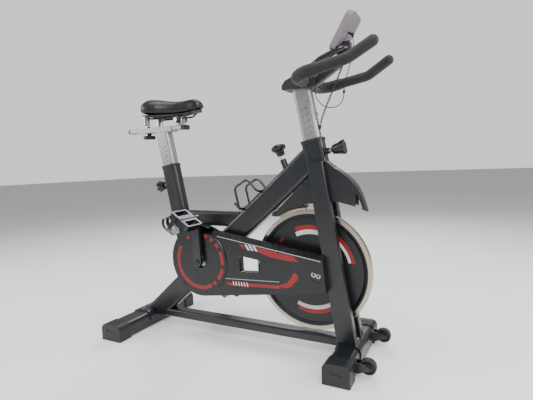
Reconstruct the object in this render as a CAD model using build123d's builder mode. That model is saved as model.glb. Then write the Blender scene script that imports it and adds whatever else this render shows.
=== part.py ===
from build123d import *
import os
from math import cos, pi, radians, sin, tan

# Indoor exercise bike. Millimetres; +X is forward, +Y the rider's left, +Z up.
# The origin is on the floor, in the middle of the bike's length and width.

os.makedirs("parts", exist_ok=True)

# ---------------------------------------------------------------- driving dimensions
flywheel_x, flywheel_z = 282.5, 303.4
flywheel_r = 217.0
rim_half = 10.0
crank_x, crank_z = -147.5, 320.8
crank_length = 170.0
post_lean = 10.9                      # both posts lean back from the vertical
seat_x, seat_z = -338.5, 692.0        # centre of the seat tube's top
head_x, head_z = 299.5, 757.0         # centre of the head tube's top
post_wide, post_deep, post_corner = 62.0, 42.0, 11.0
post_wall = 2.0
beam_angle = 40.8                     # main beam above the horizontal
beam_tall, beam_deep, beam_corner = 86.0, 52.0, 15.0
tube_wall = 2.5
leg_inner, leg_outer = 22.0, 52.0     # fork legs, measured from the middle plane
rear_x, rear_length, rear_width, rear_height = -496.7, 473.4, 100.0, 67.5
front_x, front_length, front_width, front_height = 425.5, 403.3, 89.0, 70.0
cap_length, cap_wall, foot_gap = 60.0, 4.0, 5.0
rail_low, rail_high, rail_deep = 43.0, 76.0, 50.0
cover_back, cover_face, cover_wall = -52.0, -84.0, 3.0
cover_r = 139.0
belt_inner, belt_outer = -60.0, -74.0
big_pulley_r, small_pulley_r = 95.0, 30.0
axle_r = 8.5
running = 0.05                        # radial clearance of a running fit
gap = 0.3                             # clearance of a sliding part
arm_inner, arm_outer = -94.0, -108.0
pedal_in, pedal_out = -116.0, -206.0
slider_z, slider_tall, slider_deep = 851.0, 18.0, 38.0
slider_rear, slider_front = -545.0, -262.0
bar_r = 12.7
crossbar_x, crossbar_y, crossbar_z = 286.0, 136.0, 959.0
wheel_x, wheel_y, wheel_z, wheel_r = 508.0, 124.5, 46.5, 26.0

lean_sin, lean_cos = sin(radians(post_lean)), cos(radians(post_lean))
beam_sin, beam_cos = sin(radians(beam_angle)), cos(radians(beam_angle))


# ---------------------------------------------------------------- shared planes and shapes
def across(y_high):
    """Side-view plane at y_high: local x is forward, local y is up, extrusion goes towards -Y."""
    return Plane.XZ.offset(-y_high)


def post_plane(x, z):
    """Plane square to a leaning post: local x forward, local y to the left, normal up the post."""
    return Plane(origin=(x, 0, z), x_dir=(lean_cos, 0, lean_sin), z_dir=(-lean_sin, 0, lean_cos))


def bar(plane, wide, deep, corner, start, end):
    """Solid rounded rectangular bar along a plane's normal."""
    with BuildPart() as piece:
        with BuildSketch(plane.offset(start)):
            RectangleRounded(wide, deep, corner)
        extrude(amount=end - start)
    return piece.part


def rod(plane, radius, start, end):
    """Solid round bar along a plane's normal."""
    with BuildPart() as piece:
        with BuildSketch(plane.offset(start)):
            Circle(radius)
        extrude(amount=end - start)
    return piece.part


def plate(points, y_low, y_high, corner=0.0):
    """Flat plate with a side-view outline, from y_low to y_high."""
    with BuildPart() as piece:
        with BuildSketch(across(y_high)):
            Polygon(*points, align=None)
            if corner:
                fillet(vertices(), corner)
        extrude(amount=y_high - y_low)
    return piece.part


def swept(points, radii, radius):
    """Round bar along straight runs joined by arcs."""
    with BuildPart() as piece:
        with BuildLine() as path:
            FilletPolyline(*points, radius=radii)
        with BuildSketch(Plane(origin=path.line @ 0, z_dir=path.line % 0)):
            Circle(radius)
        sweep(path=path.line)
    return piece.part


seat_plane = post_plane(seat_x, seat_z)
head_plane = post_plane(head_x, head_z)
beam_plane = Plane(
    origin=(crank_x, 0, crank_z), x_dir=(-beam_sin, 0, beam_cos), z_dir=(beam_cos, 0, beam_sin)
)
crank_plane = Plane(origin=(crank_x, 0, crank_z), x_dir=(1, 0, 0), z_dir=(0, 1, 0))
flywheel_plane = Plane(origin=(flywheel_x, 0, flywheel_z), x_dir=(1, 0, 0), z_dir=(0, 1, 0))

# Envelopes that neighbouring pieces are cut back from
tube_wide, tube_deep, tube_corner = 70.0, 50.0, 14.0
neck_wide, neck_deep, neck_corner = 76.0, 56.0, 15.0
seat_tube_length, head_tube_length = 470.0, 160.0
beam_solid = bar(beam_plane, beam_tall, beam_deep, beam_corner, -460.0, 590.0)
neck_solid = bar(head_plane, neck_wide, neck_deep, neck_corner, -head_tube_length, 0)
seat_tube_solid = bar(seat_plane, tube_wide, tube_deep, tube_corner, -seat_tube_length, 0)
shell_r = 22.0
shell_solid = rod(crank_plane, shell_r, cover_back, -cover_back)


# ---------------------------------------------------------------- stabilizers and their caps
def stabilizer_bar(x, low, high, width, y_low, y_high, crown):
    """Flat-bottomed bar across the bike whose two top edges are rounded by crown."""
    with BuildPart() as piece:
        with BuildSketch(across(y_high)):
            with Locations((x, (low + high) / 2)):
                Rectangle(width, high - low)
            fillet(vertices().group_by(Axis.Y)[-1], crown)
        extrude(amount=y_high - y_low)
    return piece.part


tube_end = 8.0                        # how far the tube stops short of the cap's outer face
foot_sizes = (
    (rear_x, rear_length, rear_width, rear_height, 24.0),
    (front_x, front_length, front_width, front_height, 20.0),
)
with BuildPart() as stabilizers:
    for x, length, width, height, crown in foot_sizes:
        reach = length / 2 - tube_end
        low, high, across_x = foot_gap, height - cap_wall, width - 2 * cap_wall
        outside = stabilizer_bar(x, low, high, across_x, -reach, reach, crown - cap_wall)
        inside = stabilizer_bar(
            x, low + 2, high - 2, across_x - 4, -reach, reach, crown - cap_wall - 2
        )
        add(outside - inside)
stabilizers.part.label = "stabilizers"
export_step(stabilizers.part, "parts/stabilizers.step")

cap_grip = cap_length - tube_end
with BuildPart() as end_caps:
    for x, length, width, height, crown in foot_sizes:
        for hand in (-1, 1):
            outer_end = hand * length / 2
            inner_end = outer_end - hand * cap_length
            y_low, y_high = sorted((outer_end, inner_end))
            cap = stabilizer_bar(x, 0, height, width, y_low, y_high, crown)
            y_low, y_high = sorted((outer_end - hand * tube_end, inner_end))
            cap -= stabilizer_bar(x, foot_gap, height - cap_wall, width - 2 * cap_wall,
                                  y_low, y_high, crown - cap_wall)
            add(cap)
            with Locations((x, outer_end, height * 0.62)):
                Box(width * 0.42, 3.0, 12.0, mode=Mode.SUBTRACT)
            if x == front_x:
                for rib in range(4):
                    rib_y = inner_end + hand * (8.0 + 9.0 * rib)
                    with Locations((x, rib_y, height)):
                        Box(width - 2 * crown, 3.5, 2.0, mode=Mode.SUBTRACT)
end_caps.part.label = "end_caps"
export_step(end_caps.part, "parts/end_caps.step")

# Saddle brackets that clamp each stabilizer to the frame, and the bolts through them
bracket_thick = 5.0
rear_top, front_top = rear_height - cap_wall, front_height - cap_wall
rear_half, front_half = rear_width / 2 - cap_wall, front_width / 2 - cap_wall
with BuildPart() as stabilizer_brackets:
    for x, half, top, crown in (
        (rear_x, rear_half, rear_top, 20.0), (front_x, front_half, front_top, 16.0),
    ):
        shell = stabilizer_bar(x, 30.0, top + bracket_thick, 2 * (half + bracket_thick),
                               -62.0, 62.0, crown + bracket_thick)
        core = stabilizer_bar(x, 0, top, 2 * half, -62.0, 62.0, crown)
        add(shell - core)
stabilizer_brackets.part.label = "stabilizer_brackets"
export_step(stabilizer_brackets.part, "parts/stabilizer_brackets.step")

# ---------------------------------------------------------------- frame tubes
rail_rear, rail_front = rear_x + rear_half + bracket_thick, front_x - front_half - bracket_thick
rail_plane = Plane(origin=(0, 0, (rail_low + rail_high) / 2), x_dir=(0, 1, 0), z_dir=(1, 0, 0))
rail_tall = rail_high - rail_low
with BuildPart() as bottom_rail:
    add(bar(rail_plane, rail_deep, rail_tall, 8.0, rail_rear, rail_front))
    add(bar(rail_plane, rail_deep - 5, rail_tall - 5, 5.5, rail_rear, rail_front), mode=Mode.SUBTRACT)
bottom_rail.part.label = "bottom_rail"
export_step(bottom_rail.part, "parts/bottom_rail.step")

# The brake rod leans back and passes down through the main beam
rod_lean, rod_x, rod_z, rod_r = 21.0, 178.0, 709.0, 5.0
rod_plane = Plane(
    origin=(rod_x, 0, rod_z), x_dir=(cos(radians(rod_lean)), 0, sin(radians(rod_lean))),
    z_dir=(-sin(radians(rod_lean)), 0, cos(radians(rod_lean))),
)
beam_foot = rear_top + bracket_thick
with BuildPart() as main_beam:
    add(beam_solid)
    add(
        bar(beam_plane, beam_tall - 2 * tube_wall, beam_deep - 2 * tube_wall,
            beam_corner - tube_wall, -480.0, 600.0),
        mode=Mode.SUBTRACT,
    )
    split(bisect_by=Plane.XY.offset(beam_foot), keep=Keep.TOP)
    add(bar(rail_plane, rail_deep, rail_tall, 8.0, rail_rear - 20, 0), mode=Mode.SUBTRACT)
    add(neck_solid, mode=Mode.SUBTRACT)
    with Locations((head_x + 60, 0, head_z)):
        Box(90, 80, 400, mode=Mode.SUBTRACT)
    add(shell_solid, mode=Mode.SUBTRACT)
    add(rod(rod_plane, rod_r + 4.0, -200.0, 20.0), mode=Mode.SUBTRACT)
main_beam.part.label = "main_beam"
export_step(main_beam.part, "parts/main_beam.step")

with BuildPart() as seat_tube:
    add(seat_tube_solid)
    add(
        bar(seat_plane, tube_wide - 2 * tube_wall, tube_deep - 2 * tube_wall,
            tube_corner - tube_wall, -seat_tube_length, 0),
        mode=Mode.SUBTRACT,
    )
    add(beam_solid, mode=Mode.SUBTRACT)
    below_beam = Plane(origin=beam_plane.origin, x_dir=(0, 1, 0), z_dir=beam_plane.x_dir)
    split(bisect_by=below_beam, keep=Keep.TOP)
    pin_drop = -70.0
    with Locations(seat_plane.offset(pin_drop) * Location((-tube_wide / 2, 0, 0), (0, 90, 0))):
        Cylinder(8.0, 30.0, mode=Mode.SUBTRACT)
seat_tube.part.label = "seat_tube"
export_step(seat_tube.part, "parts/seat_tube.step")

with BuildPart() as cross_beam:
    beam_low, beam_high = 449.0, 509.0
    add(bar(Plane(origin=(0, 0, (beam_low + beam_high) / 2), x_dir=(0, 1, 0), z_dir=(1, 0, 0)),
            44.0, beam_high - beam_low, 12.0, -330.0, 100.0))
    add(bar(Plane(origin=(0, 0, (beam_low + beam_high) / 2), x_dir=(0, 1, 0), z_dir=(1, 0, 0)),
            39.0, beam_high - beam_low - 5, 9.5, -330.0, 100.0), mode=Mode.SUBTRACT)
    add(beam_solid, mode=Mode.SUBTRACT)
    split(bisect_by=below_beam, keep=Keep.TOP)
    add(seat_tube_solid, mode=Mode.SUBTRACT)
    split(bisect_by=Plane(origin=seat_plane.origin, x_dir=(0, 1, 0), z_dir=seat_plane.x_dir),
          keep=Keep.TOP)
cross_beam.part.label = "cross_beam"
export_step(cross_beam.part, "parts/cross_beam.step")

with BuildPart() as head_tube:
    add(neck_solid)
    add(bar(head_plane, neck_wide - 6, neck_deep - 6, neck_corner - 3, -head_tube_length, 0),
        mode=Mode.SUBTRACT)
    head_pin_drop = -42.0
    with Locations(head_plane.offset(head_pin_drop) * Location((neck_wide / 2, 0, 0), (0, 90, 0))):
        Cylinder(8.0, 30.0, mode=Mode.SUBTRACT)
head_tube.part.label = "head_tube"
export_step(head_tube.part, "parts/head_tube.step")

# Fork legs straddle the flywheel and join at a crown plate under the head tube
leg_foot = front_top + bracket_thick
leg_outline = [(383, leg_foot), (452, leg_foot), (346, 690), (302, 690), (309, 551)]
leg_hollow = [(386.5, leg_foot), (448.5, leg_foot), (344, 686), (306, 686), (312.5, 551)]
with BuildPart() as fork:
    for y_low in (leg_inner, -leg_outer):
        y_high = y_low + leg_outer - leg_inner
        with BuildSketch(across(y_high)):
            Polygon(*leg_outline, align=None)
        extrude(amount=y_high - y_low)
    fillet(edges().filter_by(GeomType.LINE).filter_by(
        lambda edge: abs(edge.tangent_at(0).Y) < 0.1 and edge.length > 200), 5.0)
    for y_low in (leg_inner, -leg_outer):
        y_high = y_low + leg_outer - leg_inner
        add(plate(leg_hollow, y_low + 3, y_high - 3), mode=Mode.SUBTRACT)
    add(plate([(370, 552), (346.5, 688), (340.5, 688), (364, 552)], -leg_inner, leg_inner))
    add(neck_solid, mode=Mode.SUBTRACT)
fork.part.label = "fork"
export_step(fork.part, "parts/fork.step")

# Crank shell through the main beam, and the plates that carry the flywheel's axle
drop_in, drop_out, housing_r, housing_out = 30.0, 38.0, 24.0, 46.0
with BuildPart() as axle_housings:
    add(shell_solid)
    add(rod(crank_plane, 17.0, cover_back - 1, 1 - cover_back), mode=Mode.SUBTRACT)
    for hand in (-1, 1):
        y_low, y_high = sorted((hand * drop_in, hand * drop_out))
        add(plate([(262, 326), (300, 326), (346, 330), (357, 262), (300, 278), (262, 280)],
                  y_low, y_high, 4.0))
        y_low, y_high = sorted((hand * (drop_in - 4), hand * housing_out))
        add(rod(flywheel_plane, housing_r, y_low, y_high))
        add(rod(flywheel_plane, 17.0, y_low - 1, y_high + 1), mode=Mode.SUBTRACT)
    add(plate(leg_outline, leg_inner, leg_outer), mode=Mode.SUBTRACT)
    add(plate(leg_outline, -leg_outer, -leg_inner), mode=Mode.SUBTRACT)
axle_housings.part.label = "axle_housings"
export_step(axle_housings.part, "parts/axle_housings.step")

with BuildPart() as frame_bearings:
    for plane, y_from, y_to in (
        (crank_plane, cover_back, cover_back + 14), (crank_plane, -cover_back - 14, -cover_back),
        (flywheel_plane, -housing_out, 14 - housing_out), (flywheel_plane, housing_out - 14, housing_out),
    ):
        add(rod(plane, 17.0, y_from, y_to))
        add(rod(plane, axle_r + running, y_from - 1, y_to + 1), mode=Mode.SUBTRACT)
frame_bearings.part.label = "frame_bearings"
export_step(frame_bearings.part, "parts/frame_bearings.step")

# Plastic collars that line each tube's mouth and guide its post
with BuildPart() as post_collars:
    for plane, wide, deep, corner, lip in (
        (seat_plane, tube_wide, tube_deep, tube_corner, 8.0),
        (head_plane, neck_wide, neck_deep, neck_corner, 9.0),
    ):
        wall = 3.0 if wide == neck_wide else tube_wall
        add(bar(plane, wide - 2 * wall, deep - 2 * wall, corner - wall, -60.0, 0))
        add(bar(plane, wide + 5, deep + 5, corner + 2, 0, lip))
        add(bar(plane, post_wide + 2 * gap, post_deep + 2 * gap, post_corner + gap, -61.0, lip + 1),
            mode=Mode.SUBTRACT)
        reach, drop = ((-1, pin_drop) if plane is seat_plane else (1, head_pin_drop))
        with Locations(plane.offset(drop) * Location((reach * wide / 2, 0, 0), (0, 90, 0))):
            Cylinder(8.0, 30.0, mode=Mode.SUBTRACT)
post_collars.part.label = "post_collars"
export_step(post_collars.part, "parts/post_collars.step")

# Threaded bosses for the two pull pins, and the boss that guides the brake rod
pin_r, pin_boss_r = 4.0, 11.0
seat_pin_plane = Plane(
    origin=(seat_plane.offset(pin_drop) * Location((-tube_wide / 2, 0, 0))).position,
    x_dir=(0, 1, 0), z_dir=seat_plane.x_dir * -1,
)
head_pin_plane = Plane(
    origin=(head_plane.offset(head_pin_drop) * Location((neck_wide / 2, 0, 0))).position,
    x_dir=(0, 1, 0), z_dir=head_plane.x_dir,
)
seat_boss_length, head_boss_length = 12.0, 14.0
with BuildPart() as brake_boss:
    add(rod(rod_plane, 15.0, -90.0, -44.0))
    add(rod(rod_plane, 11.5, -44.0, -8.0))
    add(rod(rod_plane, rod_r + running, -91.0, 1.0), mode=Mode.SUBTRACT)
    add(beam_solid, mode=Mode.SUBTRACT)
    split(bisect_by=below_beam, keep=Keep.TOP)
with BuildPart() as pin_bosses:
    for plane, length in ((seat_pin_plane, seat_boss_length), (head_pin_plane, head_boss_length)):
        add(rod(plane, pin_boss_r, 0, length))
        add(rod(plane, 7.9, -2.5, 0))
        add(rod(plane, pin_r + running, -3, length + 1), mode=Mode.SUBTRACT)
    add(brake_boss.part)
pin_bosses.part.label = "pin_bosses"
export_step(pin_bosses.part, "parts/pin_bosses.step")

# ---------------------------------------------------------------- covers
top_fall, bottom_rise = 9.2, 7.6      # slopes of the belt cover's long edges
top_turn, bottom_turn = radians(58), radians(bottom_rise - 90)
cover_end_top, cover_end_bottom = 350.0, 362.0


def cover_outline(inset):
    """Belt cover outline: a round end about the crank and two straight edges to the fork."""
    r = cover_r - inset
    top = (crank_x + r * cos(top_turn), crank_z + r * sin(top_turn))
    bottom = (crank_x + r * cos(bottom_turn), crank_z + r * sin(bottom_turn))
    end_top, end_bottom = cover_end_top - inset, cover_end_bottom - inset
    far_top = (end_top, top[1] - (end_top - top[0]) * tan(radians(top_fall)))
    far_bottom = (end_bottom, bottom[1] + (end_bottom - bottom[0]) * tan(radians(bottom_rise)))
    with BuildSketch() as outline:
        with BuildLine():
            Line(top, far_top)
            Line(far_top, far_bottom)
            Line(far_bottom, bottom)
            ThreePointArc(bottom, (crank_x - r, crank_z), top)
        make_face()
    return outline.sketch


# The long top edge is bevelled: its front corner is lower than its back one
bevel_back, bevel_drop, bevel_room = 28.0, 13.0, 8.0
top_start = Vector(crank_x + cover_r * cos(top_turn), 0, crank_z + cover_r * sin(top_turn))
top_way = Vector(cos(radians(top_fall)), 0, -sin(radians(top_fall)))
bevel_plane = Plane(
    origin=top_start - top_way * 60, x_dir=(0, 1, 0),
    z_dir=(top_way.X, top_way.Y, top_way.Z),
)
with BuildPart() as cover_bevel:
    with BuildSketch(bevel_plane):
        Polygon((cover_face + bevel_back, 0), (cover_face - 4, -bevel_drop * (1 + 4 / bevel_back)),
                (cover_face - 4, bevel_room), (cover_face + bevel_back, bevel_room), align=None)
    extrude(amount=520)
with BuildPart() as bevel_wall:
    with BuildSketch(bevel_plane):
        Polygon((-100, -bevel_drop - 4), (0, -bevel_drop - 4), (0, 40), (-100, 40), align=None)
    extrude(amount=520)

window = [(28, 354), (30, 291), (113, 296), (115, 342)]


def window_face(grow):
    """The cover's four-cornered window, grown evenly by its wall."""
    with BuildSketch() as opening:
        Polygon(*window, align=None)
        fillet(opening.vertices(), 7.0)
        if grow:
            offset(amount=grow)
    return opening.sketch


boss_face, boss_ring_r = -88.0, 122.0
with BuildPart() as cover_outer:
    with BuildSketch(across(cover_back - 3)):
        add(cover_outline(0))
    extrude(amount=cover_back - 3 - cover_face)
    with BuildSketch(across(cover_face)):
        with Locations((crank_x, crank_z)):
            Circle(boss_ring_r)
    extrude(amount=cover_face - boss_face)
    chamfer(faces().sort_by(Axis.Y)[0].edges(), 2.0)
    with BuildSketch(across(cover_back - 3)):
        add(cover_outline(cover_wall))
        add(window_face(cover_wall), mode=Mode.SUBTRACT)
    cavity = extrude(amount=cover_back - 3 - cover_face - cover_wall, mode=Mode.PRIVATE)
    add(cavity - bevel_wall.part, mode=Mode.SUBTRACT)
    add(cover_bevel.part, mode=Mode.SUBTRACT)
    with BuildSketch(across(0)):
        add(window_face(0))
    extrude(amount=120, mode=Mode.SUBTRACT)
    add(rod(crank_plane, 27.0, -100, 0), mode=Mode.SUBTRACT)
    add(plate([(305, 318), (345, 309), (348, 281), (308, 289)], cover_face - 1, cover_face + 1.5, 6.0),
        mode=Mode.SUBTRACT)
    screw_spots = ((189.0, 376.0), (200.0, 250.0), (-231.0, 222.5), (330.0, 262.0))
    for x, z in screw_spots:
        with Locations(Location((x, cover_face, z), (90, 0, 0))):
            Cylinder(3.0, 20.0, mode=Mode.SUBTRACT)
cover_outer.part.label = "cover_outer"
export_step(cover_outer.part, "parts/cover_outer.step")

with BuildPart() as cover_inner:
    with BuildSketch(across(cover_back)):
        add(cover_outline(0))
        add(window_face(0), mode=Mode.SUBTRACT)
    extrude(amount=3)
    add(rod(crank_plane, shell_r, -100, 0), mode=Mode.SUBTRACT)
    add(rod(flywheel_plane, 20.0, -100, 0), mode=Mode.SUBTRACT)
    for x, z in screw_spots:
        with BuildSketch(across(cover_back - 3)):
            with Locations((x, z)):
                Circle(6.0)
        extrude(amount=cover_back - 3 - cover_face - cover_wall)
    add(cover_outer.part, mode=Mode.SUBTRACT)
cover_inner.part.label = "cover_inner"
export_step(cover_inner.part, "parts/cover_inner.step")

panel_inner, panel_outer = 22.0, 25.0
pivot_x, pivot_z, pivot_r = 150.0, 506.0, 4.0       # pin the brake shoe swings on
panel_outline = [(138, 497), (158, 495), (222, 528), (270, 541), (311, 546), (303, 655), (289, 636)]
with BuildPart() as side_panels:
    for y_low in (panel_inner, -panel_outer):
        add(plate(panel_outline, y_low, y_low + panel_outer - panel_inner))
    add(beam_solid, mode=Mode.SUBTRACT)
    add(neck_solid, mode=Mode.SUBTRACT)
    for y_low in (leg_inner, -leg_outer):
        add(plate(leg_outline, y_low, y_low + leg_outer - leg_inner), mode=Mode.SUBTRACT)
    with Locations(Location((pivot_x, 0, pivot_z), (90, 0, 0))):
        Cylinder(pivot_r, 2 * panel_outer + 4)
        for hand in (-1, 1):
            with Locations((0, 0, hand * (panel_outer + 1.5))):
                Cylinder(pivot_r + 2.5, 3.0)
side_panels.part.label = "side_panels"
export_step(side_panels.part, "parts/side_panels.step")

# Pointed guard in front of the head tube, over the flywheel
with BuildPart() as fender:
    with BuildSketch(across(27)):
        with BuildLine():
            Line((350, 690), (378, 667))
            Spline((378, 667), (424, 633), (457, 594), (474, 556), (486, 518))
            Line((486, 518), (444, 537))
            Line((444, 537), (390, 551))
            Line((390, 551), (340, 552))
            Line((340, 552), (350, 690))
        make_face()
    extrude(amount=54)
    with BuildSketch(Plane.XY.offset(500)):
        with BuildLine():
            Polyline((330, -27), (330, 27), (440, 25), (495, 9), (495, -9), (440, -25), (330, -27))
        make_face()
    extrude(amount=220, mode=Mode.INTERSECT)
    with BuildSketch(across(22)):
        with BuildLine():
            Line((330, 660), (378, 650))
            Spline((378, 650), (420, 620), (448, 586), (464, 550), (470, 530))
            Line((470, 530), (440, 500))
            Line((440, 500), (330, 500))
            Line((330, 500), (330, 660))
        make_face()
    extrude(amount=44, mode=Mode.SUBTRACT)
    add(plate([(452, leg_foot), (346, 690), (302, 690), (302, leg_foot)], -60, 60), mode=Mode.SUBTRACT)
    add(bar(head_plane, neck_wide, neck_deep, neck_corner, -head_tube_length, 0), mode=Mode.SUBTRACT)
fender.part.label = "fender"
export_step(fender.part, "parts/fender.step")

# ---------------------------------------------------------------- bottle cage, wheel brackets, fasteners
cage_low, cage_high, cage_off = 242.0, 368.0, beam_tall / 2
bottle_r, cage_wire = 37.0, 4.5


def on_beam(along, off, y):
    """Point at a distance along the main beam, off its axis and out to the side."""
    return (
        crank_x + along * beam_cos - off * beam_sin, y, crank_z + along * beam_sin + off * beam_cos
    )


bottle_off = cage_off + 6 + bottle_r
with BuildPart() as bottle_cage:
    with BuildSketch(beam_plane.offset(cage_low)):
        with Locations((cage_off + 2, 0)):
            RectangleRounded(4, 24, 1.5)
    extrude(amount=cage_high - cage_low)
    for hand in (-1, 1):
        side_y = hand * (bottle_r + cage_wire)
        add(swept(
            [on_beam(cage_low + 12, cage_off + cage_wire + 0.5, 0),
             on_beam(cage_low + 12, cage_off + cage_wire + 0.5, side_y),
             on_beam(cage_low + 50, bottle_off + 34, side_y),
             on_beam(cage_high - 12, bottle_off + 22, side_y),
             on_beam(cage_high - 12, cage_off + cage_wire + 0.5, side_y),
             on_beam(cage_high - 12, cage_off + cage_wire + 0.5, 0)],
            [12, 20, 20, 14], cage_wire))
    add(swept(
        [on_beam(cage_low + 12, cage_off + 8, 0), on_beam(cage_low - 8, cage_off + 14, 0),
         on_beam(cage_low - 10, bottle_off + 4, 0)], [9], cage_wire + 1))
    add(beam_solid, mode=Mode.SUBTRACT)
bottle_cage.part.label = "bottle_cage"
export_step(bottle_cage.part, "parts/bottle_cage.step")

front_face = front_x + front_half
lug_thick, wheel_half, hub_r = 4.0, 10.0, 9.0
with BuildPart() as wheel_brackets:
    for hand in (-1, 1):
        with Locations((front_face + 2.0, hand * wheel_y, wheel_z - 6)):
            Box(4.0, 2 * (wheel_half + 2 + lug_thick), 34.0)
        for face in (-1, 1):
            near = hand * wheel_y + face * (wheel_half + 2)
            far = near + face * lug_thick
            with BuildSketch(across(max(near, far))):
                with Locations((wheel_x, wheel_z)):
                    Circle(11.0)
                with Locations((front_face + 8.0, wheel_z - 6)):
                    Rectangle(8.0, 34.0)
                make_hull()
            extrude(amount=lug_thick)
        bolt_end = wheel_half + 2 + lug_thick + 4
        with Locations(Location((wheel_x, hand * wheel_y, wheel_z), (90, 0, 0))):
            Cylinder(4.0, 2 * bolt_end)
            for face in (-1, 1):
                with Locations((0, 0, face * (bolt_end - 2))):
                    Cylinder(7.0, 4.0)
wheel_brackets.part.label = "wheel_brackets"
export_step(wheel_brackets.part, "parts/wheel_brackets.step")

for hand, side in ((-1, "right"), (1, "left")):
    with BuildPart() as wheel:
        with BuildSketch(Plane(origin=(wheel_x, hand * wheel_y, wheel_z), z_dir=(0, 0, 1))) as section:
            with BuildLine():
                Polyline((4.0 + running, -wheel_half - 1), (9, -wheel_half - 1), (10, -wheel_half + 3),
                         (18, -wheel_half + 3), (20, -wheel_half), (24, -wheel_half),
                         (wheel_r, -wheel_half + 3), (wheel_r, wheel_half - 3), (24, wheel_half),
                         (20, wheel_half), (18, wheel_half - 3), (10, wheel_half - 3),
                         (9, wheel_half + 1), (4.0 + running, wheel_half + 1),
                         (4.0 + running, -wheel_half - 1))
            make_face()
        revolve(axis=Axis((wheel_x, hand * wheel_y, wheel_z), (0, 1, 0)))
    wheel.part.label = f"transport_wheel_{side}"
    export_step(wheel.part, f"parts/transport_wheel_{side}.step")

with BuildPart() as frame_bolts:
    rear_bolt_z, front_bolt_z = rear_top + bracket_thick + 3.5, front_top + bracket_thick + 3.5
    with Locations((rear_x, 46, rear_bolt_z), (rear_x, -46, rear_bolt_z),
                   (front_x - 18, 0, front_bolt_z), (front_x + 16, 0, front_bolt_z)):
        Cylinder(6.5, 7.0)
        Cylinder(3.0, 7.0, mode=Mode.SUBTRACT)
    for x, z in screw_spots:
        with Locations(Location((x, cover_face + 1.6, z), (90, 0, 0))):
            Cylinder(2.9, 2.8)
frame_bolts.part.label = "frame_bolts"
export_step(frame_bolts.part, "parts/frame_bolts.step")

# ---------------------------------------------------------------- flywheel, crank and belt
bore_r = 14.0
with BuildPart() as flywheel:
    with BuildSketch(Plane(origin=(flywheel_x, 0, flywheel_z), z_dir=(0, 0, 1))):
        with BuildLine():
            Polyline((bore_r, -12), (44, -12), (48, -5), (188, -5), (198, -rim_half), (216, -rim_half),
                     (flywheel_r, -rim_half + 1), (flywheel_r, rim_half - 1), (216, rim_half),
                     (198, rim_half), (188, 5), (48, 5), (44, 12), (bore_r, 12), (bore_r, -12))
        make_face()
    revolve(axis=Axis((flywheel_x, 0, flywheel_z), (0, 1, 0)))
flywheel.part.label = "flywheel"
export_step(flywheel.part, "parts/flywheel.step")

def pulley(plane, radius, bore):
    """Flat belt pulley with a low flange on each side."""
    with BuildPart() as piece:
        add(rod(plane, radius, belt_outer, belt_inner))
        add(rod(plane, radius + 2.5, belt_outer - 1, belt_outer))
        add(rod(plane, radius + 2.5, belt_inner, belt_inner + 1))
        add(rod(plane, bore, belt_outer - 2, belt_inner + 2), mode=Mode.SUBTRACT)
    return piece.part


with BuildPart() as flywheel_axle:
    add(rod(flywheel_plane, axle_r, belt_outer - 6, housing_out + 14))
    add(rod(flywheel_plane, bore_r, -16, 16))
    add(rod(flywheel_plane, 30.0, 12, 16))
    add(rod(flywheel_plane, 24.0, -16, -12))
    for y_low, thick in ((belt_outer - 6, 4.0), (housing_out + 3, 7.0)):
        with BuildSketch(flywheel_plane.offset(y_low)):
            RegularPolygon(13.0, 6)
        extrude(amount=thick)
    add(pulley(flywheel_plane, small_pulley_r, axle_r - 1))
flywheel_axle.part.label = "flywheel_axle"
export_step(flywheel_axle.part, "parts/flywheel_axle.step")

with BuildPart() as crank_pulley:
    add(pulley(crank_plane, big_pulley_r, axle_r))
    for y_from, y_to in ((belt_outer - 2, belt_outer + 4), (belt_inner - 4, belt_inner + 2)):
        add(rod(crank_plane, big_pulley_r - 8, y_from, y_to), mode=Mode.SUBTRACT)
    add(rod(crank_plane, 22.0, belt_outer, belt_inner))
    add(rod(crank_plane, axle_r, belt_outer - 2, belt_inner + 2), mode=Mode.SUBTRACT)
    with BuildSketch(crank_plane.offset(belt_outer - 2)):
        with PolarLocations(54.0, 6):
            Circle(17.0)
    extrude(amount=20, mode=Mode.SUBTRACT)
crank_pulley.part.label = "crank_pulley"
export_step(crank_pulley.part, "parts/crank_pulley.step")

belt_thick = 3.0
with BuildPart() as drive_belt:
    for grow, mode in ((gap + belt_thick, Mode.ADD), (gap, Mode.SUBTRACT)):
        with BuildSketch(across(belt_inner - 0.5)):
            with Locations((crank_x, crank_z)):
                Circle(big_pulley_r + grow)
            with Locations((flywheel_x, flywheel_z)):
                Circle(small_pulley_r + grow)
            make_hull()
        extrude(amount=belt_inner - belt_outer - 1, mode=mode)
drive_belt.part.label = "drive_belt"
export_step(drive_belt.part, "parts/drive_belt.step")

spindle_r = 7.0
with BuildPart() as crank_spindles:
    add(rod(crank_plane, axle_r, arm_outer, -arm_outer))
    for hand in (-1, 1):
        y_low, y_high = sorted((hand * abs(arm_outer), hand * (abs(arm_outer) + 3)))
        add(rod(crank_plane, 10.5, y_low, y_high))
        pedal_axis = crank_plane.offset(0).shift_origin((crank_x, 0, crank_z - hand * crank_length))
        y_low, y_high = sorted((hand * abs(arm_inner), hand * (abs(pedal_out) - 4)))
        add(rod(pedal_axis, spindle_r, y_low, y_high))
        y_low, y_high = sorted((hand * abs(arm_outer), hand * (abs(pedal_in) - 2)))
        add(rod(pedal_axis, 9.0, y_low, y_high))
crank_spindles.part.label = "crank_spindles"
export_step(crank_spindles.part, "parts/crank_spindles.step")

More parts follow.
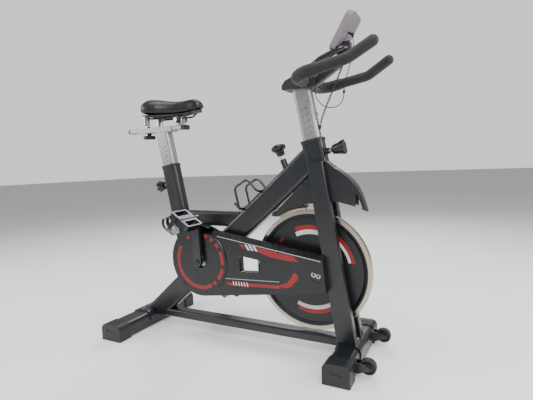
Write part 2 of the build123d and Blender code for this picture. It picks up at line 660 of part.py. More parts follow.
with BuildPart() as crank_arms:
    for hand in (-1, 1):
        tip_z = crank_z - hand * crank_length
        y_low, y_high = sorted((hand * abs(arm_inner), hand * abs(arm_outer)))
        with BuildSketch(across(y_high)):
            with Locations((crank_x, crank_z)):
                Circle(19.0)
            with Locations((crank_x, tip_z)):
                Circle(13.0)
            make_hull()
        extrude(amount=y_high - y_low)
        y_low, y_high = sorted((hand * 90, hand * abs(arm_inner)))
        add(rod(crank_plane, 16.0, y_low, y_high))
    add(crank_spindles.part, mode=Mode.SUBTRACT)
crank_arms.part.label = "crank_arms"
export_step(crank_arms.part, "parts/crank_arms.step")

# Pedals hang with their toe clips underneath, so each is turned over about its spindle
pedal_hang = 215.0
pedal_length, pedal_tall = 92.0, 24.0
pedal_wide = pedal_in - pedal_out
pedal_mid = (pedal_in + pedal_out) / 2
with BuildPart() as pedal_shape:
    with BuildSketch(Plane.XY.offset(-pedal_tall / 2)):
        with Locations((0, pedal_mid)):
            RectangleRounded(pedal_length, pedal_wide, 12)
        with Locations((-28, pedal_mid), (28, pedal_mid)):
            RectangleRounded(24, pedal_wide - 24, 5, mode=Mode.SUBTRACT)
    extrude(amount=pedal_tall)
    add(rod(Plane.XZ, 14.0, -pedal_in, -pedal_out))
    add(rod(Plane.XZ, spindle_r + running, -pedal_in - 1, -pedal_out - 3), mode=Mode.SUBTRACT)
with BuildPart() as clip_shape:
    with BuildSketch(Plane.XZ.offset(-pedal_mid - 30)):
        with BuildLine() as clip_line:
            l1 = Line((pedal_length / 2 + 1.6, -9), (pedal_length / 2 + 1.6, 8))
            l2 = TangentArc(l1 @ 1, (72, 44), tangent=(0.5, 1))
            l3 = ThreePointArc(l2 @ 1, (62, 62), (40, 68))
            Line(l3 @ 1, (4, 66))
        trace(line_width=3.0)
    extrude(amount=60)
    with BuildSketch(Plane.XY.offset(20)):
        with Locations((56, pedal_mid - 14), (56, pedal_mid + 14)):
            RectangleRounded(60, 14, 4)
    extrude(amount=60, mode=Mode.SUBTRACT)
    strap_out, strap_in = pedal_out - 4.0, pedal_in + 4.0
    with BuildSketch(Plane(origin=(10, 0, 0), x_dir=(0, 1, 0), z_dir=(1, 0, 0))):
        with BuildLine():
            FilletPolyline((pedal_out - 1.2, -10), (strap_out, 46), (pedal_mid - 26, 69.2),
                           (pedal_mid + 26, 69.2), (strap_in, 46), (pedal_in + 1.2, -10),
                           radius=[18, 24, 24, 18])
        trace(line_width=2.4)
    extrude(amount=16)
for hand, side in ((-1, "right"), (1, "left")):
    tip = Location((crank_x, 0, crank_z - hand * crank_length), (0, pedal_hang, 0))
    for shape, stem in ((pedal_shape, "pedal"), (clip_shape, "toe_clip")):
        with BuildPart() as piece:
            if hand < 0:
                add(shape.part.moved(tip))
            else:
                add(mirror(shape.part, about=Plane.XZ, mode=Mode.PRIVATE).moved(tip))
        piece.part.label = f"{stem}_{side}"
        export_step(piece.part, f"parts/{stem}_{side}.step")

# ---------------------------------------------------------------- seat post, slider and saddle
bracket_floor = slider_z - slider_tall / 2 - gap
bracket_wall = 3.0
channel_rear, channel_front = -486.0, -312.0
knob_x = -450.0
hole_pitch = 22.0
with BuildPart() as seat_post:
    add(bar(seat_plane, post_wide, post_deep, post_corner, -215.0, 180.0))
    add(bar(seat_plane, post_wide - 2 * post_wall, post_deep - 2 * post_wall,
            post_corner - post_wall, -216.0, 140.0), mode=Mode.SUBTRACT)
    split(bisect_by=Plane.XY.offset(bracket_floor - bracket_wall), keep=Keep.BOTTOM)
    for row in range(7):
        drop = pin_drop - 88.0 + hole_pitch * row
        hole = seat_plane.offset(drop) * Location((-post_wide / 2, 0, 0), (0, 90, 0))
        with Locations(hole):
            Cylinder(4.6, 12.0, mode=Mode.SUBTRACT)
    with Locations(seat_plane.offset(77.0) * Location((-post_wide / 2 - 2.0, 0, 0), (0, 90, 0))):
        Cylinder(5.5, 7.0)
    channel_mid, channel_long = (channel_rear + channel_front) / 2, channel_front - channel_rear
    with Locations((channel_mid, 0, bracket_floor + 10.5 - bracket_wall)):
        Box(channel_long, slider_deep + 2 * (gap + bracket_wall), 21.0)
    with Locations((channel_mid, 0, bracket_floor + 15.0)):
        Box(channel_long + 2, slider_deep + 2 * gap, 30.0, mode=Mode.SUBTRACT)
    with Locations((knob_x, 0, bracket_floor)):
        Cylinder(4.0 + running, 20.0, mode=Mode.SUBTRACT)
seat_post.part.label = "seat_post"
export_step(seat_post.part, "parts/seat_post.step")

stem_x, stem_r, stem_top = -278.0, 11.0, 893.0
slider_top = slider_z + slider_tall / 2
slider_plane = Plane(origin=(0, 0, slider_z), x_dir=(0, 1, 0), z_dir=(1, 0, 0))
with BuildPart() as slider_tube:
    add(bar(slider_plane, slider_deep, slider_tall, 4.0, slider_rear, slider_front))
    add(bar(slider_plane, slider_deep - 4, slider_tall - 4, 2.0, slider_rear, slider_front),
        mode=Mode.SUBTRACT)
    with Locations((knob_x, 0, slider_z)):
        Box(92.0, 9.0, 30.0, mode=Mode.SUBTRACT)
    with Locations((stem_x, 0, (slider_top + stem_top) / 2)):
        Cylinder(stem_r, stem_top - slider_top)
slider_tube.part.label = "slider_tube"
export_step(slider_tube.part, "parts/slider_tube.step")

with BuildPart() as slider_caps:
    for end, reach, thick in ((slider_rear, -1, 7.0), (slider_front, 1, 16.0)):
        low, high = sorted((end, end + reach * thick))
        add(bar(slider_plane, slider_deep + 1, slider_tall + 1, 4.5, low, high))
        low, high = sorted((end, end - reach * 12.0))
        add(bar(slider_plane, slider_deep - 4, slider_tall - 4, 2.0, low, high))
slider_caps.part.label = "slider_caps"
export_step(slider_caps.part, "parts/slider_caps.step")

tilt_z, tilt_r = 881.5, 5.0
with BuildPart() as saddle_clamp:
    with Locations((stem_x, 0, tilt_z)):
        Box(34.0, 32.0, 26.0)
    with Locations(Location((stem_x, 0, tilt_z), (90, 0, 0))):
        Cylinder(tilt_r, 66.0)
        with Locations((0, 0, 31.5), (0, 0, -31.5)):
            Cylinder(9.0, 5.0)
    with Locations((stem_x, 0, tilt_z)):
        Cylinder(stem_r, 40.0, mode=Mode.SUBTRACT)
    fillet(edges().filter_by(Axis.Z).filter_by(lambda edge: edge.length > 20), 4.0)
saddle_clamp.part.label = "saddle_clamp"
export_step(saddle_clamp.part, "parts/saddle_clamp.step")

rail_r, rail_y = 3.5, 23.0
with BuildPart() as saddle_rails:
    for hand in (-1, 1):
        add(swept([(-432, hand * 44, 903), (-405, hand * 32, 894), (-330, hand * rail_y, 892),
                   (-232, hand * rail_y, 892), (-200, hand * 12, 905)], [14, 30, 16], rail_r))
        with Locations(Location((stem_x, hand * rail_y, tilt_z + 3), (90, 0, 0))):
            Cylinder(15.0, 9.0)
        with Locations(Location((stem_x, hand * rail_y, tilt_z), (90, 0, 0))):
            Cylinder(tilt_r + running, 20.0, mode=Mode.SUBTRACT)
saddle_rails.part.label = "saddle_rails"
export_step(saddle_rails.part, "parts/saddle_rails.step")


def saddle_plan(inset):
    """Saddle seen from above: a broad rear and a narrow nose."""
    with BuildSketch() as plan:
        with BuildLine():
            half = [(-250, 32 - inset), (-300, 52 - inset), (-350, 82 - inset), (-398, 92 - inset),
                    (-436 + inset, 58 - inset)]
            nose = (-190, 26 - inset)
            far = [(x, -y) for x, y in half[::-1]]
            Spline(nose, *half, (-445 + inset, 0), *far, (nose[0], -nose[1]))
            ThreePointArc((nose[0], -nose[1]), (-161 - inset, 0), nose)
        make_face()
    return plan.sketch


with BuildPart() as saddle_pad:
    with BuildSketch(Plane.XY.offset(860)):
        add(saddle_plan(0))
    extrude(amount=130)
    with BuildSketch(across(120)):
        with BuildLine():
            Bezier((-446, 940), (-446, 960), (-430, 971), (-402, 973))
            Spline((-402, 973), (-350, 968), (-300, 959), (-250, 956), (-205, 958))
            Bezier((-205, 958), (-178, 959), (-160, 948), (-160, 926))
            Line((-160, 926), (-176, 914))
            Spline((-176, 914), (-240, 908), (-330, 903), (-410, 908), (-446, 922))
            Line((-446, 922), (-446, 940))
        make_face()
    extrude(amount=240, mode=Mode.INTERSECT)
saddle_pad.part.label = "saddle_pad"
export_step(saddle_pad.part, "parts/saddle_pad.step")

with BuildPart() as saddle_base:
    with BuildSketch(Plane.XY.offset(860)):
        add(saddle_plan(9))
    extrude(amount=130)
    with BuildSketch(across(120)):
        with BuildLine():
            Line((-455, 922), (-455, 915))
            Spline((-455, 915), (-410, 900.5), (-330, 896), (-240, 900), (-150, 908))
            Line((-150, 908), (-150, 917))
            Spline((-150, 917), (-240, 907), (-330, 902.5), (-410, 907), (-455, 922))
        make_face()
    extrude(amount=240, mode=Mode.INTERSECT)
    add(saddle_pad.part, mode=Mode.SUBTRACT)
saddle_base.part.label = "saddle_base"
export_step(saddle_base.part, "parts/saddle_base.step")

with BuildPart() as saddle_springs:
    with Locations((-424, 40, 886), (-424, -40, 886)):
        Cylinder(13.0, 36.0)
    add(saddle_rails.part, mode=Mode.SUBTRACT)
    add(saddle_base.part, mode=Mode.SUBTRACT)
    add(saddle_pad.part, mode=Mode.SUBTRACT)
saddle_springs.part.label = "saddle_springs"
export_step(saddle_springs.part, "parts/saddle_springs.step")

# ---------------------------------------------------------------- pull pins and clamp knobs
def lobed_knob(plane, start, length, radius, neck):
    """Tapered knob with six finger lobes, its narrow end towards the bike."""
    with BuildPart() as piece:
        with BuildSketch(plane.offset(start)):
            Circle(radius * 0.62)
        with BuildSketch(plane.offset(start + length)):
            Circle(radius)
        loft()
        with BuildSketch(plane.offset(start)):
            with PolarLocations(radius * 1.12, 6):
                Circle(radius * 0.3)
        extrude(amount=length + 1, mode=Mode.SUBTRACT)
        add(rod(plane, neck, start - 6.0, start))
        add(rod(plane, pin_r + 1, start - 7.0, start + length * 0.6), mode=Mode.SUBTRACT)
    return piece.part


pull = 9.0                            # how far a pin is pulled to free its post
seat_knob_start, head_knob_start = seat_boss_length + 8.0, head_boss_length + 12.0
for name, plane, wall, knob_start, knob_long, knob_r in (
    ("seat", seat_pin_plane, (tube_wide - post_wide) / 2, seat_knob_start, 26.0, 25.0),
    ("head", head_pin_plane, (neck_wide - post_wide) / 2, head_knob_start, 42.0, 26.0),
):
    with BuildPart() as pin:
        add(rod(plane, pin_r, -wall + gap, knob_start - 6.0))
        add(rod(plane, pin_r + 1 - running, knob_start - 6.0, knob_start + knob_long * 0.5))
    pin.part.label = f"{name}_pin"
    export_step(pin.part, f"parts/{name}_pin.step")
    with BuildPart() as knob:
        add(lobed_knob(plane, knob_start, knob_long, knob_r, 9.0))
    knob.part.label = f"{name}_knob"
    export_step(knob.part, f"parts/{name}_knob.step")

with BuildPart() as slider_knob:
    knob_plane = Plane(origin=(knob_x, 0, 0))
    knob_top = bracket_floor - bracket_wall
    add(rod(knob_plane, 25.0, knob_top - 25.0, knob_top - 11.0))
    with BuildSketch(knob_plane.offset(knob_top - 26.0)):
        with PolarLocations(29.0, 6):
            Circle(8.0)
    extrude(amount=16, mode=Mode.SUBTRACT)
    add(rod(knob_plane, 9.0, knob_top - 11.0, knob_top - gap))
    add(rod(knob_plane, 4.0, knob_top - gap, slider_top + gap))
    add(rod(knob_plane, 10.0, slider_top + gap, slider_top + 2.5))
    add(rod(knob_plane, 6.5, slider_top + 2.5, slider_top + 8.0))
slider_knob.part.label = "slider_knob"
export_step(slider_knob.part, "parts/slider_knob.step")

# ---------------------------------------------------------------- brake
rod_low, knob_seat = -183.5, 6.0
with BuildPart() as brake_rod:
    add(rod(rod_plane, rod_r, rod_low, 22.0))
    add(rod(rod_plane, 7.5, rod_low, rod_low + 8.0))
brake_rod.part.label = "brake_rod"
export_step(brake_rod.part, "parts/brake_rod.step")

with BuildPart() as brake_knob:
    with BuildSketch(Plane(origin=rod_plane.origin, x_dir=rod_plane.x_dir, z_dir=(0, -1, 0))):
        with BuildLine():
            Polyline((rod_r + running, knob_seat), (14, knob_seat), (17, knob_seat + 18))
            Spline((17, knob_seat + 18), (26, knob_seat + 26), (27, knob_seat + 34), (18, knob_seat + 42),
                   (0, knob_seat + 45))
            Polyline((0, knob_seat + 45), (0, 22.4), (rod_r + running, 22.4), (rod_r + running, knob_seat))
        make_face()
    revolve(axis=Axis(rod_plane.origin, rod_plane.z_dir))
brake_knob.part.label = "brake_knob"
export_step(brake_knob.part, "parts/brake_knob.step")

# The shoe hangs from a pivot behind the flywheel's top and is pressed down by the rod
shoe_gap, felt_thick, holder_thick = 2.5, 6.0, 9.0


def rim_arc(radius, turn):
    """Point on a circle about the flywheel's axis, turned back from the top by a number of degrees."""
    return flywheel_x - radius * sin(radians(turn)), flywheel_z + radius * cos(radians(turn))


def rim_band(inner_r, thick, turn_from, turn_to, half):
    """Curved band that follows the flywheel's rim."""
    outer_r, turn_mid = inner_r + thick, (turn_from + turn_to) / 2
    with BuildPart() as piece:
        with BuildSketch(across(half)):
            with BuildLine():
                ThreePointArc(rim_arc(inner_r, turn_from), rim_arc(inner_r, turn_mid),
                              rim_arc(inner_r, turn_to))
                Line(rim_arc(inner_r, turn_to), rim_arc(outer_r, turn_to))
                ThreePointArc(rim_arc(outer_r, turn_to), rim_arc(outer_r, turn_mid),
                              rim_arc(outer_r, turn_from))
                Line(rim_arc(outer_r, turn_from), rim_arc(inner_r, turn_from))
            make_face()
        extrude(amount=2 * half)
    return piece.part


felt_r = flywheel_r + shoe_gap
with BuildPart() as brake_shoe:
    add(rim_band(felt_r + felt_thick, holder_thick, 3.0, 33.0, 13.0))
    with BuildSketch(across(8)):
        with BuildLine():
            Polyline((pivot_x - 8, pivot_z), rim_arc(felt_r + felt_thick + 1, 33),
                     rim_arc(felt_r + felt_thick + holder_thick, 27), (pivot_x + 2, pivot_z + 9),
                     (pivot_x - 8, pivot_z))
        make_face()
    extrude(amount=16)
    with Locations(Location((pivot_x, 0, pivot_z), (90, 0, 0))):
        Cylinder(8.5, 16.0)
        Cylinder(pivot_r + running, 20.0, mode=Mode.SUBTRACT)
    add(rim_band(felt_r - 1, felt_thick + 1, 0, 40.0, 20.0), mode=Mode.SUBTRACT)
brake_shoe.part.label = "brake_shoe"
export_step(brake_shoe.part, "parts/brake_shoe.step")

with BuildPart() as brake_felt:
    add(rim_band(felt_r, felt_thick, 4.0, 32.0, 10.0))
brake_felt.part.label = "brake_felt"
export_step(brake_felt.part, "parts/brake_felt.step")

# ---------------------------------------------------------------- handlebar post and bars
post_top = 941.0
with BuildPart() as handlebar_post:
    add(bar(head_plane, post_wide, post_deep, post_corner, -100.0, 200.0))
    add(bar(head_plane, post_wide - 2 * post_wall, post_deep - 2 * post_wall,
            post_corner - post_wall, -101.0, 201.0), mode=Mode.SUBTRACT)
    split(bisect_by=Plane.XY.offset(post_top), keep=Keep.BOTTOM)
    for row in range(6):
        drop = head_pin_drop - 44.0 + hole_pitch * row
        hole = head_plane.offset(drop) * Location((post_wide / 2, 0, 0), (0, 90, 0))
        with Locations(hole):
            Cylinder(4.6, 12.0, mode=Mode.SUBTRACT)
    with Locations(head_plane.offset(90.0) * Location((post_wide / 2 + 2.0, 0, 0), (0, 90, 0))):
        Cylinder(5.5, 7.0)
handlebar_post.part.label = "handlebar_post"
export_step(handlebar_post.part, "parts/handlebar_post.step")

tip_x, tip_y, tip_z = 534.0, 127.0, 1028.0
bend_x, bend_y, bend_z = 462.0, 138.0, 987.0
bar_route = [
    (tip_x, -tip_y, tip_z), (bend_x, -bend_y, bend_z), (crossbar_x, -crossbar_y, crossbar_z),
    (crossbar_x, crossbar_y, crossbar_z), (bend_x, bend_y, bend_z), (tip_x, tip_y, tip_z),
]
bar_bends = [60, 50, 50, 60]
bar_solid = swept(bar_route, bar_bends, bar_r)
with BuildPart() as handlebar_tube:
    add(bar_solid)
    add(swept(bar_route, bar_bends, bar_r - 2.0), mode=Mode.SUBTRACT)
handlebar_tube.part.label = "handlebar_tube"
export_step(handlebar_tube.part, "parts/handlebar_tube.step")

grip_r, rest_r = 18.0, 21.0
rest_x, rest_z = 380.0, 974.0
with BuildPart() as grips:
    for hand in (-1, 1):
        add(swept([(tip_x, hand * tip_y, tip_z), (bend_x, hand * bend_y, bend_z),
                   (rest_x, hand * 137.07, rest_z)], [60], grip_r))
        add(swept([(rest_x + 6, hand * 137.1, rest_z + 0.95),
                   (crossbar_x, hand * crossbar_y, crossbar_z), (crossbar_x, hand * 42, crossbar_z)],
                  [50], rest_r))
        with Locations((tip_x, hand * tip_y, tip_z)):
            Sphere(grip_r)
    add(bar_solid, mode=Mode.SUBTRACT)
grips.part.label = "grips"
export_step(grips.part, "parts/grips.step")

clamp_half = 34.0
clamp_outline = [(200, post_top), (200, 956), (213, 972), (238, 982), (300, 982), (317, 968),
                 (318, post_top)]
with BuildPart() as handlebar_clamp:
    add(plate(clamp_outline, -clamp_half, clamp_half))
    fillet(edges().filter_by(Axis.Y), 4.0)
    add(bar_solid, mode=Mode.SUBTRACT)
handlebar_clamp.part.label = "handlebar_clamp"
export_step(handlebar_clamp.part, "parts/handlebar_clamp.step")

case_tilt = 58.4
case_up = (cos(radians(case_tilt)), 0, sin(radians(case_tilt)))
case_plane = Plane(
    origin=(385, 0, 1046), x_dir=(0, -1, 0), z_dir=(-case_up[2], 0, case_up[0])
)                                     # local y runs up the console, the normal faces the rider
case_wide, case_tall, case_half, seam = 100.0, 132.0, 10.5, 3.0
screen_wide, screen_tall, screen_mid = 78.0, 52.0, 84.0
button_r, button_y, button_travel = 6.0, 32.0, 1.2
button_spots = (-22.0, 22.0)


def case_slab(low, high, trim):
    """Round-cornered slab of the console, between two depths."""
    with BuildPart() as piece:
        with BuildSketch(case_plane.offset(low)):
            with Locations((0, case_tall / 2)):
                RectangleRounded(case_wide - 2 * trim, case_tall - 2 * trim, 18.0 - trim)
        extrude(amount=high - low)
    return piece.part


loop_r, loop_front, loop_z = 11.0, 424.0, 1052.0
loop_solid = swept(
    [(294, -24, 966), (314, -31, 1008), (348, -36, 1026), (loop_front, -36, loop_z),
     (loop_front, 36, loop_z), (348, 36, 1026), (314, 31, 1008), (294, 24, 966)],
    [24, 22, 22, 22, 22, 24], loop_r)
brace_plane = Plane(
    origin=(317.5, 0, 961.7), x_dir=(0, 1, 0), z_dir=(cos(radians(32)), 0, sin(radians(32)))
)
brace_solid = bar(brace_plane, 24.0, 30.0, 6.0, -14.0, 128.0)
with BuildPart() as centre_bar:
    add(loop_solid)
    add(brace_solid)
    add(plate(clamp_outline, -60, 60), mode=Mode.SUBTRACT)
    add(bar_solid, mode=Mode.SUBTRACT)
    with BuildPart(mode=Mode.PRIVATE) as bracket:
        with Locations((416, 0, 1054)):
            Box(42, 32, 40)
        with Locations((420, 0, 1037.5)):
            Box(34, 60, 7)
        add(case_slab(-case_half, 80.0, -20), mode=Mode.SUBTRACT)
    add(bracket.part)
centre_bar.part.label = "centre_bar"
export_step(centre_bar.part, "parts/centre_bar.step")

# ---------------------------------------------------------------- console
with BuildPart() as console_case:
    back_shell = case_slab(-case_half, seam, 0) - case_slab(3 - case_half, seam + 1, 3)
    add(back_shell)
    bezel = case_slab(seam, case_half, 0) - case_slab(seam - 1, case_half - 3, 3)
    add(bezel)
    with BuildSketch(case_plane.offset(case_half - 5)):
        with Locations((0, screen_mid)):
            RectangleRounded(screen_wide, screen_tall, 4)
    extrude(amount=10, mode=Mode.SUBTRACT)
    with BuildSketch(case_plane.offset(case_half - 5)):
        with Locations(*[(x, button_y) for x in button_spots]):
            Circle(button_r + gap)
    extrude(amount=10, mode=Mode.SUBTRACT)
    with BuildSketch(case_plane.offset(case_half - 3.0)):
        with Locations((0, screen_mid)):
            RectangleRounded(screen_wide - 0.2, screen_tall - 0.2, 4)
    extrude(amount=2.0)
    add(loop_solid, mode=Mode.SUBTRACT)
console_case.part.label = "console_case"
export_step(console_case.part, "parts/console_case.step")

for spot, name in zip(button_spots, ("left", "right")):
    with BuildPart() as button:
        with BuildSketch(case_plane.offset(case_half - 4)):
            with Locations((-spot, button_y)):
                Circle(button_r)
        extrude(amount=5.8)
        fillet(faces().sort_by(Axis(case_plane.origin, case_plane.z_dir))[-1].edges(), 1.0)
    button.part.label = f"button_{name}"
    export_step(button.part, f"parts/button_{name}.step")

# ---------------------------------------------------------------- cords
# The curly cord climbs from a socket on the post to a plug under the console bracket
curly_r, wire_r = 4.5, 1.75
curly_route = [
    (326, 0, 814), (335, -4, 838), (348, -9, 866), (372, -14, 910), (391, -17, 950),
    (411, -20, 988), (421, -22, 1014),
]
# The pulse sensor wire leaves the clamp, sags, and climbs through a sleeve to the console
wire_route = [
    (306, 14, 941), (306, 14, 921), (313, 16, 902), (327, 17, 885), (346, 17, 874),
    (368, 16, 870), (390, 15, 876), (403, 14, 890), (408, 13, 908), (409, 12, 930),
    (414, 10, 952), (422, 7, 975), (432, 3, 998), (441, -1, 1020), (446, -4, 1043),
    (447, -5, 1066), (446, -5, 1086),
]


def arc_radii(route):
    """Largest arc for each corner: 0.45 of its shorter run over the tangent of half its turn."""
    radii = []
    for before, at, after in zip(route, route[1:], route[2:]):
        run_in, run_out = Vector(*at) - Vector(*before), Vector(*after) - Vector(*at)
        turn = radians(run_in.get_angle(run_out))
        radii.append(0.45 * min(run_in.length, run_out.length) / tan(turn / 2))
    return radii


def cord_tube(route, radius):
    """Plain tube along a cord's route; prints its length, volume match and arc radii."""
    radii = arc_radii(route)
    with BuildPart() as piece:
        with BuildLine() as path:
            FilletPolyline(*route, radius=radii)
        with BuildSketch(Plane(origin=path.line @ 0, z_dir=path.line % 0)):
            Circle(radius)
        sweep(path=path.line)
    length = sum(edge.length for edge in path.edges())
    share = piece.part.volume / (pi * radius ** 2 * length)
    print("cord length", round(length, 1), "volume match", round(share, 4),
          "radii", [round(r) for r in radii])
    return piece.part


with BuildPart() as curly_cord:
    add(cord_tube(curly_route, curly_r))
curly_cord.part.label = "curly_cord"
export_step(curly_cord.part, "parts/curly_cord.step")

with BuildPart() as sensor_wire:
    add(cord_tube(wire_route, wire_r))
sensor_wire.part.label = "sensor_wire"
export_step(sensor_wire.part, "parts/sensor_wire.step")


def along_plane(start, end):
    """Plane at start whose normal points to end."""
    return Plane(origin=start, z_dir=(Vector(*end) - Vector(*start)).normalized())


with BuildPart() as cord_plugs:
    socket_length = 16.0
    start, second = curly_route[0], curly_route[1]
    add(rod(along_plane(start, second), 6.0, -socket_length, 0))
    add(bar(head_plane, post_wide, post_deep, post_corner, 30.0, 90.0), mode=Mode.SUBTRACT)
    end, before = curly_route[-1], curly_route[-2]
    add(rod(along_plane(end, before), 6.0, -34.0, 0))
    add(centre_bar.part, mode=Mode.SUBTRACT)
    split(bisect_by=Plane.XY.offset(1036.0), keep=Keep.BOTTOM)
    sleeve_low, sleeve_high = wire_route[8], wire_route[9]
    sleeve_plane = along_plane(sleeve_low, sleeve_high)
    add(rod(sleeve_plane, 4.0, 6.0, 16.0))
    with Locations((446, -5, 1092)):
        Cylinder(4.2, 12.0)
    plug_plane = Plane(origin=(446, -5, 1093), z_dir=case_plane.z_dir)
    add(rod(plug_plane, 3.6, 0, 30.0))
    add(case_slab(-case_half, 60.0, 0), mode=Mode.SUBTRACT)
cord_plugs.part.label = "cord_plugs"
export_step(cord_plugs.part, "parts/cord_plugs.step")
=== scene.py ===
import bpy
import bmesh
from math import cos, hypot, pi, radians, sin, tan
from mathutils import Matrix, Vector, noise


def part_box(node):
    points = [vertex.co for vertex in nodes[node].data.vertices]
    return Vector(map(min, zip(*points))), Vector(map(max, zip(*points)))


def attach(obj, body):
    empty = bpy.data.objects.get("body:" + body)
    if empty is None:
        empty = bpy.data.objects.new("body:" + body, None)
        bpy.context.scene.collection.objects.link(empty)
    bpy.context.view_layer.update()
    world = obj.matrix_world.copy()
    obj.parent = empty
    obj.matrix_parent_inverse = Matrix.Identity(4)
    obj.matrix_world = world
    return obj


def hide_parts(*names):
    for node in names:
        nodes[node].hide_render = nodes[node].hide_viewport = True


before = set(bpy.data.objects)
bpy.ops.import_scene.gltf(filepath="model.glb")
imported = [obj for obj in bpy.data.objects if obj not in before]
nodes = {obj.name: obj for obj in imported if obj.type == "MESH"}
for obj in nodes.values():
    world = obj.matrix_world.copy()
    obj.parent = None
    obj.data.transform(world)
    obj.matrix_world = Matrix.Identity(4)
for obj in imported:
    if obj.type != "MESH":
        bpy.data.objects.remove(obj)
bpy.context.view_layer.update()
MM = 0.001

# Places in the part's own frame, millimetres, as (x, z) or as a face's y
CRANK, WHEEL = (-147.5, 320.8), (282.5, 303.4)
FACE_Y, BOSS_Y, BADGE_Y = -84.0, -88.0, -82.7
WHEEL_FACE_Y, POST_FACE_Y = -5.0, -21.0
SCREW_SPOTS = ((189.0, 376.0), (200.0, 250.0), (-231.0, 222.5), (330.0, 262.0))
PRINT_THICK, PRINT_SUNK = 0.35, 0.05


# ------------------------------------------------------------------ camera and light
def add_light(name, place, aim, power, size, colour=(1, 1, 1)):
    """Soft box at place, turned to face aim."""
    data = bpy.data.lights.new(name, "AREA")
    data.energy = power
    data.color = colour
    data.shape = "RECTANGLE"
    data.size, data.size_y = size, size * 0.6
    lamp = bpy.data.objects.new(name, data)
    lamp.location = place
    lamp.rotation_euler = (Vector(aim) - Vector(place)).to_track_quat("-Z", "Y").to_euler()
    bpy.context.scene.collection.objects.link(lamp)


camera_data = bpy.data.cameras.new("camera")
camera_data.lens, camera_data.sensor_width = 26.632, 36.0
camera = bpy.data.objects.new("camera", camera_data)
camera.matrix_world = Matrix((
    (0.8906, -0.0060, 0.4547, 0.7806),
    (0.4533, 0.0907, -0.8867, -1.3111),
    (-0.0360, 0.9959, 0.0835, 0.6768),
    (0, 0, 0, 1),
))
bpy.context.scene.collection.objects.link(camera)
bpy.context.scene.camera = camera

add_light("key", (1.6, -2.2, 2.6), (0, 0, 0.5), 95, 2.2)
add_light("fill", (-2.6, -1.4, 1.6), (0, 0, 0.5), 45, 2.0, (0.93, 0.96, 1.0))
add_light("front", (2.6, 0.4, 1.4), (0.2, 0, 0.5), 40, 1.6, (0.95, 0.97, 1.0))
add_light("back", (-0.6, 2.6, 2.4), (0, 0, 0.6), 55, 2.0)
add_light("top", (0.0, -0.2, 3.2), (0, 0, 0), 50, 2.4, (0.94, 0.97, 1.0))

world = bpy.data.worlds.new("studio")
world.use_nodes = True
# The backdrop is brighter to the camera than the light it gives
AMBIENT, BACKDROP = 0.42, 1.0
backdrop = world.node_tree.nodes["Background"]
backdrop.inputs[0].default_value = (1, 1, 1, 1)
seen = world.node_tree.nodes.new("ShaderNodeLightPath")
brightness = world.node_tree.nodes.new("ShaderNodeMapRange")
brightness.inputs[3].default_value, brightness.inputs[4].default_value = AMBIENT, BACKDROP
world.node_tree.links.new(seen.outputs["Is Camera Ray"], brightness.inputs[0])
world.node_tree.links.new(brightness.outputs[0], backdrop.inputs[1])
bpy.context.scene.world = world


# ------------------------------------------------------------------ material helpers
def rgb(code):
    """Linear colour from an sRGB hex code."""
    parts = [int(code[i:i + 2], 16) / 255 for i in (0, 2, 4)]
    return tuple(c / 12.92 if c <= 0.04045 else ((c + 0.055) / 1.055) ** 2.4 for c in parts) + (1,)


